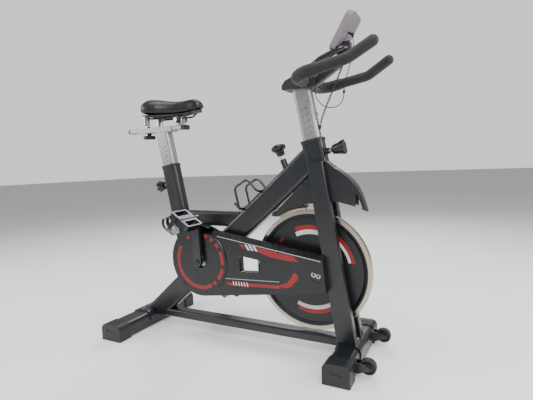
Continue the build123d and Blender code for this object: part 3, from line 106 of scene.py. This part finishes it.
class Shader:
    """A material's node tree with a short way to add and join nodes."""

    def __init__(self, name, **settings):
        self.material = bpy.data.materials.new(name)
        self.material.use_nodes = True
        self.tree = self.material.node_tree
        self.base = self.tree.nodes["Principled BSDF"]
        self.place = self.add("ShaderNodeTexCoord").outputs["Object"]
        for key, value in settings.items():
            self.base.inputs[key.replace("_", " ")].default_value = value

    def add(self, kind, inputs=None, **settings):
        node = self.tree.nodes.new(kind)
        for key, value in settings.items():
            setattr(node, key, value)
        for key, value in (inputs or {}).items():
            if isinstance(value, bpy.types.NodeSocket):
                self.tree.links.new(value, node.inputs[key])
            else:
                node.inputs[key].default_value = value
        return node

    def math(self, operation, a, b=0.0, clamp=False):
        return self.add("ShaderNodeMath", {0: a, 1: b}, operation=operation,
                        use_clamp=clamp).outputs[0]

    def between(self, value, low, high, soft=0.0004):
        """1 where value lies from low to high, with a soft edge."""
        up = self.add("ShaderNodeMapRange", {0: value, 1: low - soft, 2: low + soft}).outputs[0]
        down = self.add("ShaderNodeMapRange", {0: value, 1: high - soft, 2: high + soft, 3: 1.0,
                                              4: 0.0}).outputs[0]
        return self.math("MULTIPLY", up, down)

    def noise(self, scale, detail=3.0, rough=0.5, stretch=(1, 1, 1)):
        """Noise whose grains are about scale millimetres across."""
        spot = self.add("ShaderNodeMapping", {"Vector": self.place, "Scale": stretch}).outputs[0]
        return self.add("ShaderNodeTexNoise", {"Vector": spot, "Scale": 1000.0 / scale,
                                               "Detail": detail, "Roughness": rough}).outputs[0]

    def cells(self, scale, feature="F1"):
        """Cell pattern whose cells are about scale millimetres across."""
        return self.add("ShaderNodeTexVoronoi", {"Vector": self.place, "Scale": 1000.0 / scale},
                        feature=feature).outputs["Distance"]

    def mix(self, factor, a, b):
        node = self.add("ShaderNodeMix", data_type="RGBA")
        for key, value in ((0, factor), (6, a), (7, b)):
            if isinstance(value, bpy.types.NodeSocket):
                self.tree.links.new(value, node.inputs[key])
            else:
                node.inputs[key].default_value = value
        return node.outputs[2]

    def ramp(self, value, low, high, to_low, to_high):
        return self.add("ShaderNodeMapRange", {0: value, 1: low, 2: high, 3: to_low,
                                              4: to_high}).outputs[0]

    def set(self, name, value):
        if isinstance(value, bpy.types.NodeSocket):
            self.tree.links.new(value, self.base.inputs[name])
        else:
            self.base.inputs[name].default_value = value

    def bump(self, height, depth, strength=0.5):
        """Bump of a height in millimetres."""
        node = self.add("ShaderNodeBump", {"Height": height, "Strength": strength,
                                          "Distance": depth * MM})
        self.set("Normal", node.outputs[0])
        return self

    def axis(self, name):
        return self.add("ShaderNodeSeparateXYZ", {0: self.place}).outputs[name]


def coated_steel():
    """Satin black powder coat: fine orange peel, a faint cloudy tone."""
    m = Shader("satin_powder_coat")
    cloud = m.noise(90, 4)
    m.set("Base Color", m.mix(cloud, rgb("0e1013"), rgb("16191d")))
    m.set("Roughness", m.ramp(m.noise(35, 3), 0.3, 0.7, 0.30, 0.42))
    m.set("Coat Weight", 0.25)
    m.set("Coat Roughness", 0.22)
    return m.bump(m.noise(1.6, 2), 0.06, 0.35).material


def moulded_plastic(name, dark, light, rough, grain=0.9, depth=0.10):
    """Moulded plastic with a fine spark-eroded grain."""
    m = Shader(name)
    m.set("Base Color", m.mix(m.noise(60, 4), rgb(dark), rgb(light)))
    m.set("Roughness", m.ramp(m.noise(22, 3), 0.3, 0.7, rough - 0.05, rough + 0.07))
    return m.bump(m.cells(grain), depth, 0.5).material


def post_steel():
    """Silver-grey drawn steel with fine scratches along the post."""
    m = Shader("drawn_post_steel", Metallic=0.82)
    scratch = m.noise(1.2, 4, 0.7, (1, 1, 0.03))
    m.set("Base Color", m.mix(scratch, rgb("8f8b86"), rgb("b9b7b4")))
    m.set("Roughness", m.ramp(scratch, 0.2, 0.8, 0.30, 0.48))
    return m.bump(scratch, 0.02, 0.4).material


def bright_metal(name, dark, light, rough, stretch=(1, 1, 1)):
    """Plated or turned metal with a light smear of handling marks."""
    m = Shader(name, Metallic=1.0)
    m.set("Base Color", m.mix(m.noise(8, 4, 0.6, stretch), rgb(dark), rgb(light)))
    m.set("Roughness", m.ramp(m.noise(14, 4), 0.3, 0.7, rough, rough + 0.14))
    return m.bump(m.noise(0.8, 3, 0.6, stretch), 0.01, 0.3).material


def ringed(m, centre_x, centre_z):
    """Distance from an axis that runs along Y, in metres."""
    x = m.math("SUBTRACT", m.axis("X"), centre_x)
    z = m.math("SUBTRACT", m.axis("Z"), centre_z)
    return m.math("SQRT", m.math("ADD", m.math("MULTIPLY", x, x), m.math("MULTIPLY", z, z)))


def wheel_iron():
    """Black enamelled casting whose rim and outer face ring are turned bright."""
    m = Shader("enamelled_cast_iron")
    radius = ringed(m, WHEEL[0] * MM, WHEEL[1] * MM)
    bright = m.ramp(radius, 0.2030, 0.2034, 0.0, 1.0)
    turned = m.add("ShaderNodeTexNoise", {"W": m.math("MULTIPLY", radius, 2600.0), "Scale": 1.0},
                   noise_dimensions="1D").outputs[0]
    enamel = m.mix(m.noise(25, 5), rgb("0c0d0e"), rgb("151617"))
    steel = m.mix(turned, rgb("7f7468"), rgb("d8cbbb"))
    m.set("Base Color", m.mix(bright, enamel, steel))
    m.set("Metallic", bright)
    m.set("Roughness", m.ramp(bright, 0, 1, 0.36, 0.2))
    height = m.math("ADD", m.math("MULTIPLY", turned, bright),
                    m.math("MULTIPLY", m.noise(2.2, 3), m.math("SUBTRACT", 1.0, bright)))
    return m.bump(height, 0.06, 0.4).material


def black_foam():
    """Closed-cell handlebar foam: small pores, dull sheen."""
    m = Shader("closed_cell_foam", Sheen_Weight=0.12)
    pores = m.cells(1.1)
    m.set("Base Color", m.mix(pores, rgb("060707"), rgb("121314")))
    m.set("Roughness", m.ramp(m.noise(30, 3), 0.3, 0.7, 0.62, 0.78))
    return m.bump(m.math("ADD", pores, m.noise(5, 3)), 0.25, 0.6).material


def black_vinyl():
    """Saddle vinyl with a pebbled grain and a soft shine where it is worn."""
    m = Shader("pebbled_vinyl", Coat_Weight=0.12, Coat_Roughness=0.3)
    grain = m.cells(1.7, "SMOOTH_F1")
    m.set("Base Color", m.mix(m.noise(45, 4), rgb("08090a"), rgb("111213")))
    m.set("Roughness", m.ramp(m.noise(40, 3), 0.3, 0.7, 0.34, 0.48))
    return m.bump(m.math("ADD", grain, m.math("MULTIPLY", m.noise(9, 3), 0.6)), 0.16, 0.55).material


def black_rubber(name="ribbed_rubber", rough=0.6):
    m = Shader(name)
    m.set("Base Color", m.mix(m.noise(12, 4), rgb("08090a"), rgb("121314")))
    m.set("Roughness", m.ramp(m.noise(6, 3), 0.3, 0.7, rough - 0.08, rough + 0.08))
    return m.bump(m.noise(1.0, 2), 0.05, 0.5).material


def wool_felt():
    """Pressed tan wool felt with short fibres."""
    m = Shader("pressed_wool_felt", Sheen_Weight=0.5, Roughness=0.95)
    fibre = m.noise(1.4, 6, 0.8, (0.25, 1, 1))
    m.set("Base Color", m.mix(fibre, rgb("a0866b"), rgb("d6c3a8")))
    return m.bump(fibre, 0.5, 0.8).material


def printed(name, code, rough=0.35):
    """Printed vinyl decal with a little unevenness in its ink."""
    m = Shader(name)
    m.set("Base Color", m.mix(m.noise(14, 4), rgb(code),
                              tuple(c * 0.82 for c in rgb(code)[:3]) + (1,)))
    m.set("Roughness", m.ramp(m.noise(9, 3), 0.3, 0.7, rough - 0.05, rough + 0.08))
    return m.bump(m.noise(2.4, 2), 0.02, 0.3).material


COAT = coated_steel()
CAP = moulded_plastic("moulded_black_nylon", "141517", "1d1f21", 0.48)
COVER = moulded_plastic("moulded_cover_abs", "090a0b", "101113", 0.26, 0.7, 0.05)
POST = post_steel()
CHROME = bright_metal("zinc_plated_steel", "b4b6b9", "dfe1e4", 0.16)
ALLOY = bright_metal("cast_aluminium", "8d9095", "c9ccd1", 0.30)
DARK_CHROME = bright_metal("dark_chrome_plate", "2f3134", "4a4d51", 0.22)
IRON = wheel_iron()
FOAM = black_foam()
VINYL = black_vinyl()
RUBBER = black_rubber()
BELT = black_rubber("belt_rubber", 0.7)
CORD = black_rubber("cord_jacket", 0.42)
FELT = wool_felt()
CASE = moulded_plastic("console_shell_abs", "6d656b", "837a81", 0.40, 0.8, 0.06)
KNOB = moulded_plastic("knob_phenolic", "0a0b0c", "131416", 0.30, 1.2, 0.06)
NYLON = moulded_plastic("strap_nylon", "0e0f10", "191b1c", 0.38, 0.9, 0.12)
RED = printed("red_print", "8f1614")
WHITE = printed("white_print", "d9d8d6")
SILVER = printed("silver_print", "a9abad", 0.25)

FINISH = {
    COAT: "stabilizers stabilizer_brackets bottom_rail main_beam seat_tube cross_beam head_tube "
          "fork axle_housings side_panels wheel_brackets bottle_cage pin_bosses centre_bar "
          "handlebar_tube crank_arms saddle_rails brake_shoe fender",
    CAP: "end_caps post_collars slider_caps handlebar_clamp saddle_base transport_wheel_right "
         "transport_wheel_left",
    COVER: "cover_outer cover_inner",
    POST: "seat_post handlebar_post slider_tube",
    CHROME: "frame_bolts seat_pin head_pin brake_rod flywheel_axle saddle_clamp "
            "saddle_springs frame_bearings",
    ALLOY: "crank_pulley",
    DARK_CHROME: "pedal_right pedal_left crank_spindles",
    IRON: "flywheel",
    BELT: "drive_belt",
    NYLON: "toe_clip_right toe_clip_left",
    KNOB: "seat_knob head_knob slider_knob brake_knob",
    CASE: "console_case",
    RUBBER: "button_left button_right cord_plugs",
}
for material, names in FINISH.items():
    for name in names.split():
        nodes[name].data.materials.clear()
        nodes[name].data.materials.append(material)


# ------------------------------------------------------------------ mesh helpers
def piece(name, mesh, material, body, slot_name, *stands_for):
    """Object for a mesh, riding on a body."""
    item = bpy.data.objects.new(name, mesh)
    bpy.context.scene.collection.objects.link(item)
    mesh.materials.clear()
    mesh.materials.append(material)
    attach(item, body)
    if stands_for:
        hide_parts(*stands_for)
    return item


def mesh_from(bm, name, smooth=True):
    bmesh.ops.recalc_face_normals(bm, faces=bm.faces)
    mesh = bpy.data.meshes.new(name)
    bm.to_mesh(mesh)
    bm.free()
    for face in mesh.polygons:
        face.use_smooth = smooth
    return mesh


def prism(bm, outline, y_low, y_high):
    """Adds a solid with a side-view outline in millimetres to bm."""
    rings = [[bm.verts.new((x * MM, y * MM, z * MM)) for x, z in outline] for y in (y_low, y_high)]
    bm.faces.new(rings[0])
    bm.faces.new(rings[1][::-1])
    count = len(outline)
    for i in range(count):
        j = (i + 1) % count
        bm.faces.new((rings[0][j], rings[0][i], rings[1][i], rings[1][j]))


def decal(name, outlines, face_y, material, body, slot_name):
    """Thin printed shapes lying on a face whose outside looks along -Y."""
    bm = bmesh.new()
    for outline in outlines:
        prism(bm, outline, face_y - PRINT_THICK, face_y - PRINT_SUNK)
    return piece(name, mesh_from(bm, name, False), material, body, slot_name)


def ring_piece(centre, inner, outer, from_turn, to_turn, steps=24):
    """Outline of a piece of a flat ring, angles in degrees from +X towards +Z."""
    turns = [radians(from_turn + (to_turn - from_turn) * i / steps) for i in range(steps + 1)]
    far = [(centre[0] + outer * cos(t), centre[1] + outer * sin(t)) for t in turns]
    near = [(centre[0] + inner * cos(t), centre[1] + inner * sin(t)) for t in turns[::-1]]
    return far + near


def tube(points, radius, name, segments=16, closed=False):
    """Round tube mesh along points in metres."""
    line = bpy.data.curves.new(name, "CURVE")
    line.dimensions = "3D"
    spline = line.splines.new("POLY")
    spline.points.add(len(points) - 1)
    for point, place in zip(spline.points, points):
        point.co = (*place, 1)
    spline.use_cyclic_u = closed
    line.bevel_depth = radius
    line.bevel_resolution = segments // 4
    line.use_fill_caps = True
    holder = bpy.data.objects.new(name, line)
    bpy.context.scene.collection.objects.link(holder)
    mesh = bpy.data.meshes.new_from_object(holder)
    bpy.data.objects.remove(holder)
    for face in mesh.polygons:
        face.use_smooth = True
    return mesh


# ------------------------------------------------------------------ cords
CURLY_ROUTE = [
    (326, 0, 814), (335, -4, 838), (348, -9, 866), (372, -14, 910), (391, -17, 950),
    (411, -20, 988), (421, -22, 1014),
]
WIRE_ROUTE = [
    (306, 14, 941), (306, 14, 921), (313, 16, 902), (327, 17, 885), (346, 17, 874),
    (368, 16, 870), (390, 15, 876), (403, 14, 890), (408, 13, 908), (409, 12, 930),
    (414, 10, 952), (422, 7, 975), (432, 3, 998), (441, -1, 1020), (446, -4, 1043),
    (447, -5, 1066), (446, -5, 1086),
]


def nurbs(route, name, radius=0.0, order=3):
    """Curve object whose control points are a route in metres."""
    line = bpy.data.curves.new(name, "CURVE")
    line.dimensions = "3D"
    spline = line.splines.new("NURBS")
    spline.points.add(len(route) - 1)
    for point, place in zip(spline.points, route):
        point.co = (*place, 1)
    spline.order_u = order
    spline.use_endpoint_u = True
    spline.resolution_u = 12
    line.bevel_depth = radius
    line.bevel_resolution = 4
    line.use_fill_caps = True
    item = bpy.data.objects.new(name, line)
    bpy.context.scene.collection.objects.link(item)
    return item


def points_along(route, name, fineness=12):
    """Points of a route's own smooth line."""
    item = nurbs(route, name)
    item.data.splines[0].resolution_u = fineness
    mesh = bpy.data.meshes.new_from_object(item)
    points = [v.co.copy() for v in mesh.vertices]
    bpy.data.objects.remove(item)
    return points


def chain_length(points):
    return sum((b - a).length for a, b in zip(points, points[1:]))


def resample(points, count):
    """Evenly spaced points and their directions along a chain of points."""
    spans = [(b - a).length for a, b in zip(points, points[1:])]
    total = sum(spans)
    out, at, walked = [], 0, 0.0
    for i in range(count):
        goal = total * i / (count - 1)
        while at < len(spans) - 1 and walked + spans[at] < goal:
            walked += spans[at]
            at += 1
        share = (goal - walked) / spans[at]
        out.append((points[at].lerp(points[at + 1], min(max(share, 0), 1)),
                    (points[at + 1] - points[at]).normalized()))
    return out, total


wire_route = [Vector(p) * MM for p in WIRE_ROUTE]
wire = nurbs(wire_route, "pulse_sensor_wire", 1.5 * MM)
wire.data.materials.append(CORD)
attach(wire, "handlebar_set")
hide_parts("sensor_wire")

curly_line = points_along([Vector(p) * MM for p in CURLY_ROUTE], "curly_line")
turns, per_turn, coil_r, strand_r = 46, 12, 3.1 * MM, 1.15 * MM
spots = resample(curly_line, turns * per_turn + 1)[0]
helix = []
side = Vector((0, 1, 0))
for i, (spot, way) in enumerate(spots):
    side = (side - way * side.dot(way)).normalized()
    other = way.cross(side)
    turn = 2 * pi * i / per_turn
    grow = min(1.0, i / (1.5 * per_turn), (len(spots) - 1 - i) / (1.5 * per_turn))
    helix.append(spot + (side * cos(turn) + other * sin(turn)) * coil_r * grow)
curly = nurbs(helix, "curly_console_cord", strand_r)
curly.data.splines[0].resolution_u = 2
curly.data.bevel_resolution = 2
curly.data.materials.append(CORD)
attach(curly, "handlebar_set")
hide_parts("curly_cord")
wire_length = chain_length(points_along(wire_route, "wire_line"))
strand_length = chain_length(points_along(helix, "curly_measure", 2))


# ------------------------------------------------------------------ saddle
def smooth_step(a, b, value):
    share = min(max((value - a) / (b - a), 0.0), 1.0)
    return share * share * (3 - 2 * share)


def saddle_half_width(x):
    """Half width of the saddle at x, millimetres."""
    table = [(-445, 8), (-440, 44), (-430, 66), (-412, 85), (-395, 91), (-370, 88), (-345, 78),
             (-320, 62), (-300, 51), (-275, 40), (-250, 32), (-220, 27), (-195, 26), (-178, 23),
             (-168, 16), (-161, 4)]
    for (x0, w0), (x1, w1) in zip(table, table[1:]):
        if x <= x1:
            return w0 + (w1 - w0) * (x - x0) / (x1 - x0)
    return 4


def curve_height(table, x):
    for (x0, h0), (x1, h1) in zip(table, table[1:]):
        if x <= x1:
            share = (x - x0) / (x1 - x0)
            return h0 + (h1 - h0) * (share * share * (3 - 2 * share) * 0.35 + share * 0.65)
    return table[-1][1]


SADDLE_TOP = [(-445, 944), (-436, 958), (-420, 968), (-395, 972.5), (-360, 969), (-320, 961),
              (-280, 955.5), (-245, 955.5), (-215, 958), (-190, 957), (-172, 950), (-161, 936)]
SADDLE_FOOT = [(-445, 926), (-410, 909), (-360, 904.5), (-300, 904.5), (-240, 909), (-190, 914),
               (-161, 922)]


def saddle_mesh():
    """Crowned saddle: broad rear lobes with a relief channel, a narrow rounded nose."""
    bm = bmesh.new()
    rings, around, along = [], 40, 44
    for i in range(along + 1):
        share = (1 - cos(pi * i / along)) / 2 * 0.55 + i / along * 0.45
        x = -444.4 + (444.4 - 161.6) * share
        wide = max(saddle_half_width(x) - 0.8, 2.5)
        top, foot = curve_height(SADDLE_TOP, x) - 0.8, curve_height(SADDLE_FOOT, x) + 0.8
        ring = []
        for k in range(around):
            t = 2 * pi * k / around
            c, s = cos(t), sin(t)
            power = 0.62 if s > 0 else 0.5
            across_x = (abs(c) ** power) * (1 if c >= 0 else -1)
            rise = abs(s) ** (0.85 if s > 0 else 0.4)
            middle = foot + (top - foot) * 0.34
            y = across_x * wide
            z = middle + (top - middle) * rise if s >= 0 else middle - (middle - foot) * rise
            if s > 0:
                reach = abs(y) / max(wide, 1)
                rear = smooth_step(-300, -350, x) if x < -300 else 0.0
                z -= 5.0 * rear * max(0.0, 1 - abs(y) / 15.0) ** 2 * rise
                z -= (1.5 + 3.5 * rear) * reach ** 3 * rise
            ring.append(bm.verts.new((x * MM, y * MM, z * MM)))
        rings.append(ring)
    for a, b in zip(rings, rings[1:]):
        for k in range(around):
            j = (k + 1) % around
            bm.faces.new((a[k], a[j], b[j], b[k]))
    bm.faces.new(rings[0][::-1])
    bm.faces.new(rings[-1])
    return mesh_from(bm, "saddle_cushion")


SWELL_FRAMES = 20


def swell(item, pressure, cap):
    """Inflates a closed mesh a little with a cloth simulation and applies it."""
    rest = [v.co.copy() for v in item.data.vertices]
    cloth = item.modifiers.new("cloth", "CLOTH")
    cloth.settings.use_pressure = True
    cloth.settings.uniform_pressure_force = pressure
    cloth.settings.effector_weights.gravity = 0
    cloth.settings.quality = 4
    cloth.point_cache.frame_start, cloth.point_cache.frame_end = 1, SWELL_FRAMES
    for step in range(1, SWELL_FRAMES + 1):
        bpy.context.scene.frame_set(step)
    view = bpy.context.evaluated_depsgraph_get()
    moved = [v.co.copy() for v in item.evaluated_get(view).data.vertices]
    item.modifiers.remove(cloth)
    bpy.context.scene.frame_set(1)
    for vertex, old, new in zip(item.data.vertices, rest, moved):
        shift = new - old
        if shift.length > cap:
            shift = shift.normalized() * cap
        vertex.co = old + shift


def subdivide(item, levels):
    """Applies a subdivision surface."""
    item.modifiers.new("smooth", "SUBSURF").levels = levels
    view = bpy.context.evaluated_depsgraph_get()
    mesh = bpy.data.meshes.new_from_object(item.evaluated_get(view))
    item.modifiers.clear()
    old = item.data
    item.data = mesh
    bpy.data.meshes.remove(old)
    for face in item.data.polygons:
        face.use_smooth = True


def keep_inside(item, low, high, margin=0.3 * MM):
    """Holds every point of a soft piece inside its solid's box."""
    for vertex in item.data.vertices:
        for k in range(3):
            vertex.co[k] = min(max(vertex.co[k], low[k] + margin), high[k] - margin)


saddle = piece("saddle_cushion", saddle_mesh(), VINYL, "saddle_set", "saddle_vinyl", "saddle_pad")
swell(saddle, 1.6, 1.2 * MM)
subdivide(saddle, 1)
keep_inside(saddle, *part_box("saddle_pad"))

# Round piping along the sewn seam of the saddle's skirt
seam_points = []
for i in range(96):
    t = 2 * pi * i / 96
    x = -303 - 139.5 * cos(t)
    wide = saddle_half_width(x)
    y = wide * (1 if sin(t) >= 0 else -1) * (1 if 0.02 < abs(sin(t)) else 0)
    foot, top = curve_height(SADDLE_FOOT, x), curve_height(SADDLE_TOP, x)
    seam_points.append(Vector((x, y * 0.995, foot + (top - foot) * 0.22)) * MM)
piece("saddle_seam_piping", tube(seam_points, 1.1 * MM, "saddle_seam_piping", 8, True), VINYL,
      "saddle_set", "saddle_vinyl")

# ------------------------------------------------------------------ foam grips
TIP, BEND = Vector((534, 127, 1028)), Vector((462, 138, 987))
CORNER, INNER = Vector((286, 136, 959)), Vector((286, 42.5, 959))
GRIP_R, GRIP_SWELL = 17.6, 3.0
NOSE_TURNS = [radians(a) for a in (86, 75, 60, 45, 30, 15)]


def rounded_path(corners, radii, step=3.0):
    """Points along straight runs joined by arcs."""
    points = [corners[0]]
    for before, at, after, radius in zip(corners, corners[1:], corners[2:], radii):
        into, out = (at - before).normalized(), (after - at).normalized()
        turn = into.angle(out)
        cut = radius * tan(turn / 2)
        first, last = at - into * cut, at + out * cut
        normal = (out - into * out.dot(into)).normalized()
        centre = first + normal * radius
        count = max(int(radius * turn / step), 3)
        for i in range(count + 1):
            a = turn * i / count
            points.append(centre - normal * radius * cos(a) + into * radius * sin(a))
        points[-1] = last
    points.append(corners[-1])
    return points


def lofted(points, sizes, name, around=28):
    """Closed round body along points with a radius at each point, and its ends closed."""
    bm = bmesh.new()
    rings = []
    side = Vector((0, 0, 1))
    for i, (spot, radius) in enumerate(zip(points, sizes)):
        way = (points[min(i + 1, len(points) - 1)] - points[max(i - 1, 0)]).normalized()
        side = (side - way * side.dot(way)).normalized()
        other = way.cross(side)
        rings.append([bm.verts.new((spot + (side * cos(2 * pi * k / around)
                                            + other * sin(2 * pi * k / around)) * radius) * MM)
                      for k in range(around)])
    for a, b in zip(rings, rings[1:]):
        for k in range(around):
            j = (k + 1) % around
            bm.faces.new((a[k], a[j], b[j], b[k]))
    bm.faces.new(rings[0][::-1])
    bm.faces.new(rings[-1])
    return mesh_from(bm, name)


def evenly(points, step):
    spots, total = resample(points, max(int(chain_length(points) / step), 4))
    return [spot for spot, way in spots], total


for hand, side_name in ((-1, "right"), (1, "left")):
    flip = Vector((1, hand, 1))
    route = rounded_path([TIP * flip, BEND * flip, CORNER * flip, INNER * flip], [60, 50])
    line, total = evenly(route, 2.5)
    nose_way = (line[0] - line[1]).normalized()
    nose = [line[0] + nose_way * (GRIP_R * sin(a)) for a in NOSE_TURNS]
    nose_sizes = [GRIP_R * cos(a) for a in NOSE_TURNS]
    sizes = []
    for i, spot in enumerate(line):
        walked = total * i / (len(line) - 1)
        base = GRIP_R + GRIP_SWELL * smooth_step(168, 196, walked)
        end = total - walked
        base -= 1.6 * max(0.0, 1 - end / 3.0)
        ripple = 0.16 * noise.noise(Vector((walked * 0.05, hand * 3.0, 1.0)))
        sizes.append(base + ripple - 0.2)
    grip = piece(f"foam_grip_{side_name}", lofted(nose + line, nose_sizes + sizes,
                 f"foam_grip_{side_name}"), FOAM, "handlebar_set", "foam", "grips")

# ------------------------------------------------------------------ cover decals
def strip(a, b, width):
    """Thin band from a to b."""
    dx, dz = b[0] - a[0], b[1] - a[1]
    size = hypot(dx, dz)
    nx, nz = -dz / size * width / 2, dx / size * width / 2
    return [(a[0] + nx, a[1] + nz), (b[0] + nx, b[1] + nz), (b[0] - nx, b[1] - nz),
            (a[0] - nx, a[1] - nz)]


decal("cover_trim_line", [strip((-66, 422.0), (344, 355.6), 2.6)], FACE_Y, SILVER, "frame",
      "cover_plastic")
decal("cover_upper_flash", [
    [(104, 388), (126, 386.5), (246, 366), (266, 349), (228, 349), (158, 357), (112, 372)],
], FACE_Y, RED, "frame", "cover_plastic")
decal("cover_upper_tip", [[(30, 397), (46, 397), (56, 382), (50, 380)]], FACE_Y, RED, "frame",
      "cover_plastic")
decal("cover_slashes", [[(x, 397 - i), (x + 9, 396.5 - i), (x + 22, 377 - i), (x + 13, 377 - i)]
                        for i, x in enumerate((54, 70, 86))], FACE_Y, WHITE, "frame",
      "cover_plastic")
decal("cover_lower_flash", [
    [(-34, 247), (-24, 237), (196, 247), (236, 258), (262, 288), (262, 300), (255, 309),
     (243, 305), (240, 296), (222, 272), (190, 259)],
], FACE_Y, RED, "frame", "cover_plastic")
decal("cover_lower_marks", [[(x, 255), (x + 4, 255), (x + 8, 240), (x + 4, 240)]
                            for x in (-4, 8, 20, 32, 44, 56)], FACE_Y - PRINT_THICK, WHITE, "frame",
      "cover_plastic")
decal("cover_lower_edge", [strip((-36, 262), (190, 271), 2.0)], FACE_Y, SILVER, "frame",
      "cover_plastic")
ring_spans = [(147, 300), (306, 314), (322, 348), (356, 384), (34, 44), (53, 60), (68, 76),
              (84, 92), (100, 108), (116, 124)]
decal("cover_ring_marks", [ring_piece(CRANK, 97, 111, a, b) for a, b in ring_spans], BOSS_Y, RED,
      "frame", "cover_plastic")
decal("cover_badge", [ring_piece((x, z), 4.5, 8.5, 0, 359.9) for x, z in
                      ((318, 308), (335, 304.5))], BADGE_Y, SILVER, "frame", "cover_plastic")
# Each print: its ink, then rings as inner radius, outer radius, first and last angle
WHEEL_PRINTS = (
    ("upper_red", RED, ((147, 163, 78, 112),)), ("upper_white", WHITE, ((130, 146, 76, 114),)),
    ("front_red", RED, ((150, 163, 12, 56),)), ("front_white", WHITE, ((140, 149.5, 14, 50),)),
    ("low_white", WHITE, ((131, 145, 246, 306),)), ("low_red", RED, ((146, 160, 250, 308),)),
    ("rear_red", RED, ((143, 160, 166, 190), (150, 158, 134, 142))),
)
for label, ink, rings in WHEEL_PRINTS:
    decal("flywheel_" + label, [ring_piece(WHEEL, *ring) for ring in rings], WHEEL_FACE_Y, ink,
          "flywheel_set", "wheel_iron")


# ------------------------------------------------------------------ brake felt
bm = bmesh.new()
prism(bm, ring_piece(WHEEL, 219.7, 225.3, 94.2, 121.8), -9.8, 9.8)
felt = piece("brake_felt_pad", mesh_from(bm, "brake_felt_pad", False), FELT, "brake_shoe_set",
             "felt", "brake_felt")


# ------------------------------------------------------------------ screws, marks
def screw_head(bm, centre, normal, radius, height):
    """Domed cross-head screw."""
    way = Vector(normal).normalized()
    side = way.orthogonal().normalized()
    other = way.cross(side)
    profile = [(1.0, 0.0), (1.0, 0.35), (0.86, 0.75), (0.55, 1.0), (0.30, 1.0), (0.22, 0.35)]
    around = 24
    rings = []
    for share, rise in profile:
        ring = []
        for k in range(around):
            t = 2 * pi * k / around
            shrink = share
            if share < 0.4:
                shrink = share * (1.0 if k % 6 in (0, 1, 5) else 0.55)
            spot = Vector(centre) + (side * cos(t) + other * sin(t)) * radius * shrink
            ring.append(bm.verts.new((spot + way * height * rise) * MM))
        rings.append(ring)
    for a, b in zip(rings, rings[1:]):
        for k in range(around):
            j = (k + 1) % around
            bm.faces.new((a[k], a[j], b[j], b[k]))
    bm.faces.new(rings[0][::-1])
    bm.faces.new(rings[-1])


bm = bmesh.new()
for x, z in SCREW_SPOTS:
    screw_head(bm, (x, FACE_Y, z), (0, -1, 0), 4.6, 1.8)
piece("cover_screws", mesh_from(bm, "cover_screws", False), KNOB, "frame", "bright_steel")

lean = radians(10.9)
up = Vector((-sin(lean), 0, cos(lean)))
forward = Vector((cos(lean), 0, sin(lean)))


def post_marks(name, body, top_point, first, count, step, face_y):
    """Height marks cut into a post's side: a long stroke, a short stroke and a figure's box."""
    bm = bmesh.new()
    for i in range(count):
        base = Vector(top_point) + up * (first + step * i)
        for offset, length, tall in ((-16, 12, 1.2), (2, 8, 1.2), (2, 1.2, 9), (9, 1.2, 9)):
            a = base + forward * offset
            corners = [a, a + forward * length, a + forward * length + up * tall, a + up * tall]
            prism(bm, [(c.x, c.z) for c in corners], face_y - 0.25, face_y + 0.1)
    return piece(name, mesh_from(bm, name, False), COAT, body, "post_steel")


post_marks("handlebar_post_marks", "handlebar_set", (299.5, 0, 757), 26, 5, 22, POST_FACE_Y)
post_marks("seat_post_marks", "seat_post_set", (-338.5, 0, 692), 22, 4, 20, POST_FACE_Y)

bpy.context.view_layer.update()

# ------------------------------------------------------------------ floor
floor_mesh = bpy.data.meshes.new("floor")
bm = bmesh.new()
for x, y in ((-30, -30), (30, -30), (30, 30), (-30, 30)):
    bm.verts.new((x, y, -0.0005))
bm.faces.new(bm.verts)
bm.to_mesh(floor_mesh)
bm.free()
floor = bpy.data.objects.new("floor", floor_mesh)
bpy.context.scene.collection.objects.link(floor)
paper = Shader("floor_paper", Roughness=0.9)
paper.set("Base Color", paper.mix(paper.noise(400, 2), rgb("f4f4f3"), rgb("f8f8f8")))
floor.data.materials.append(paper.material)
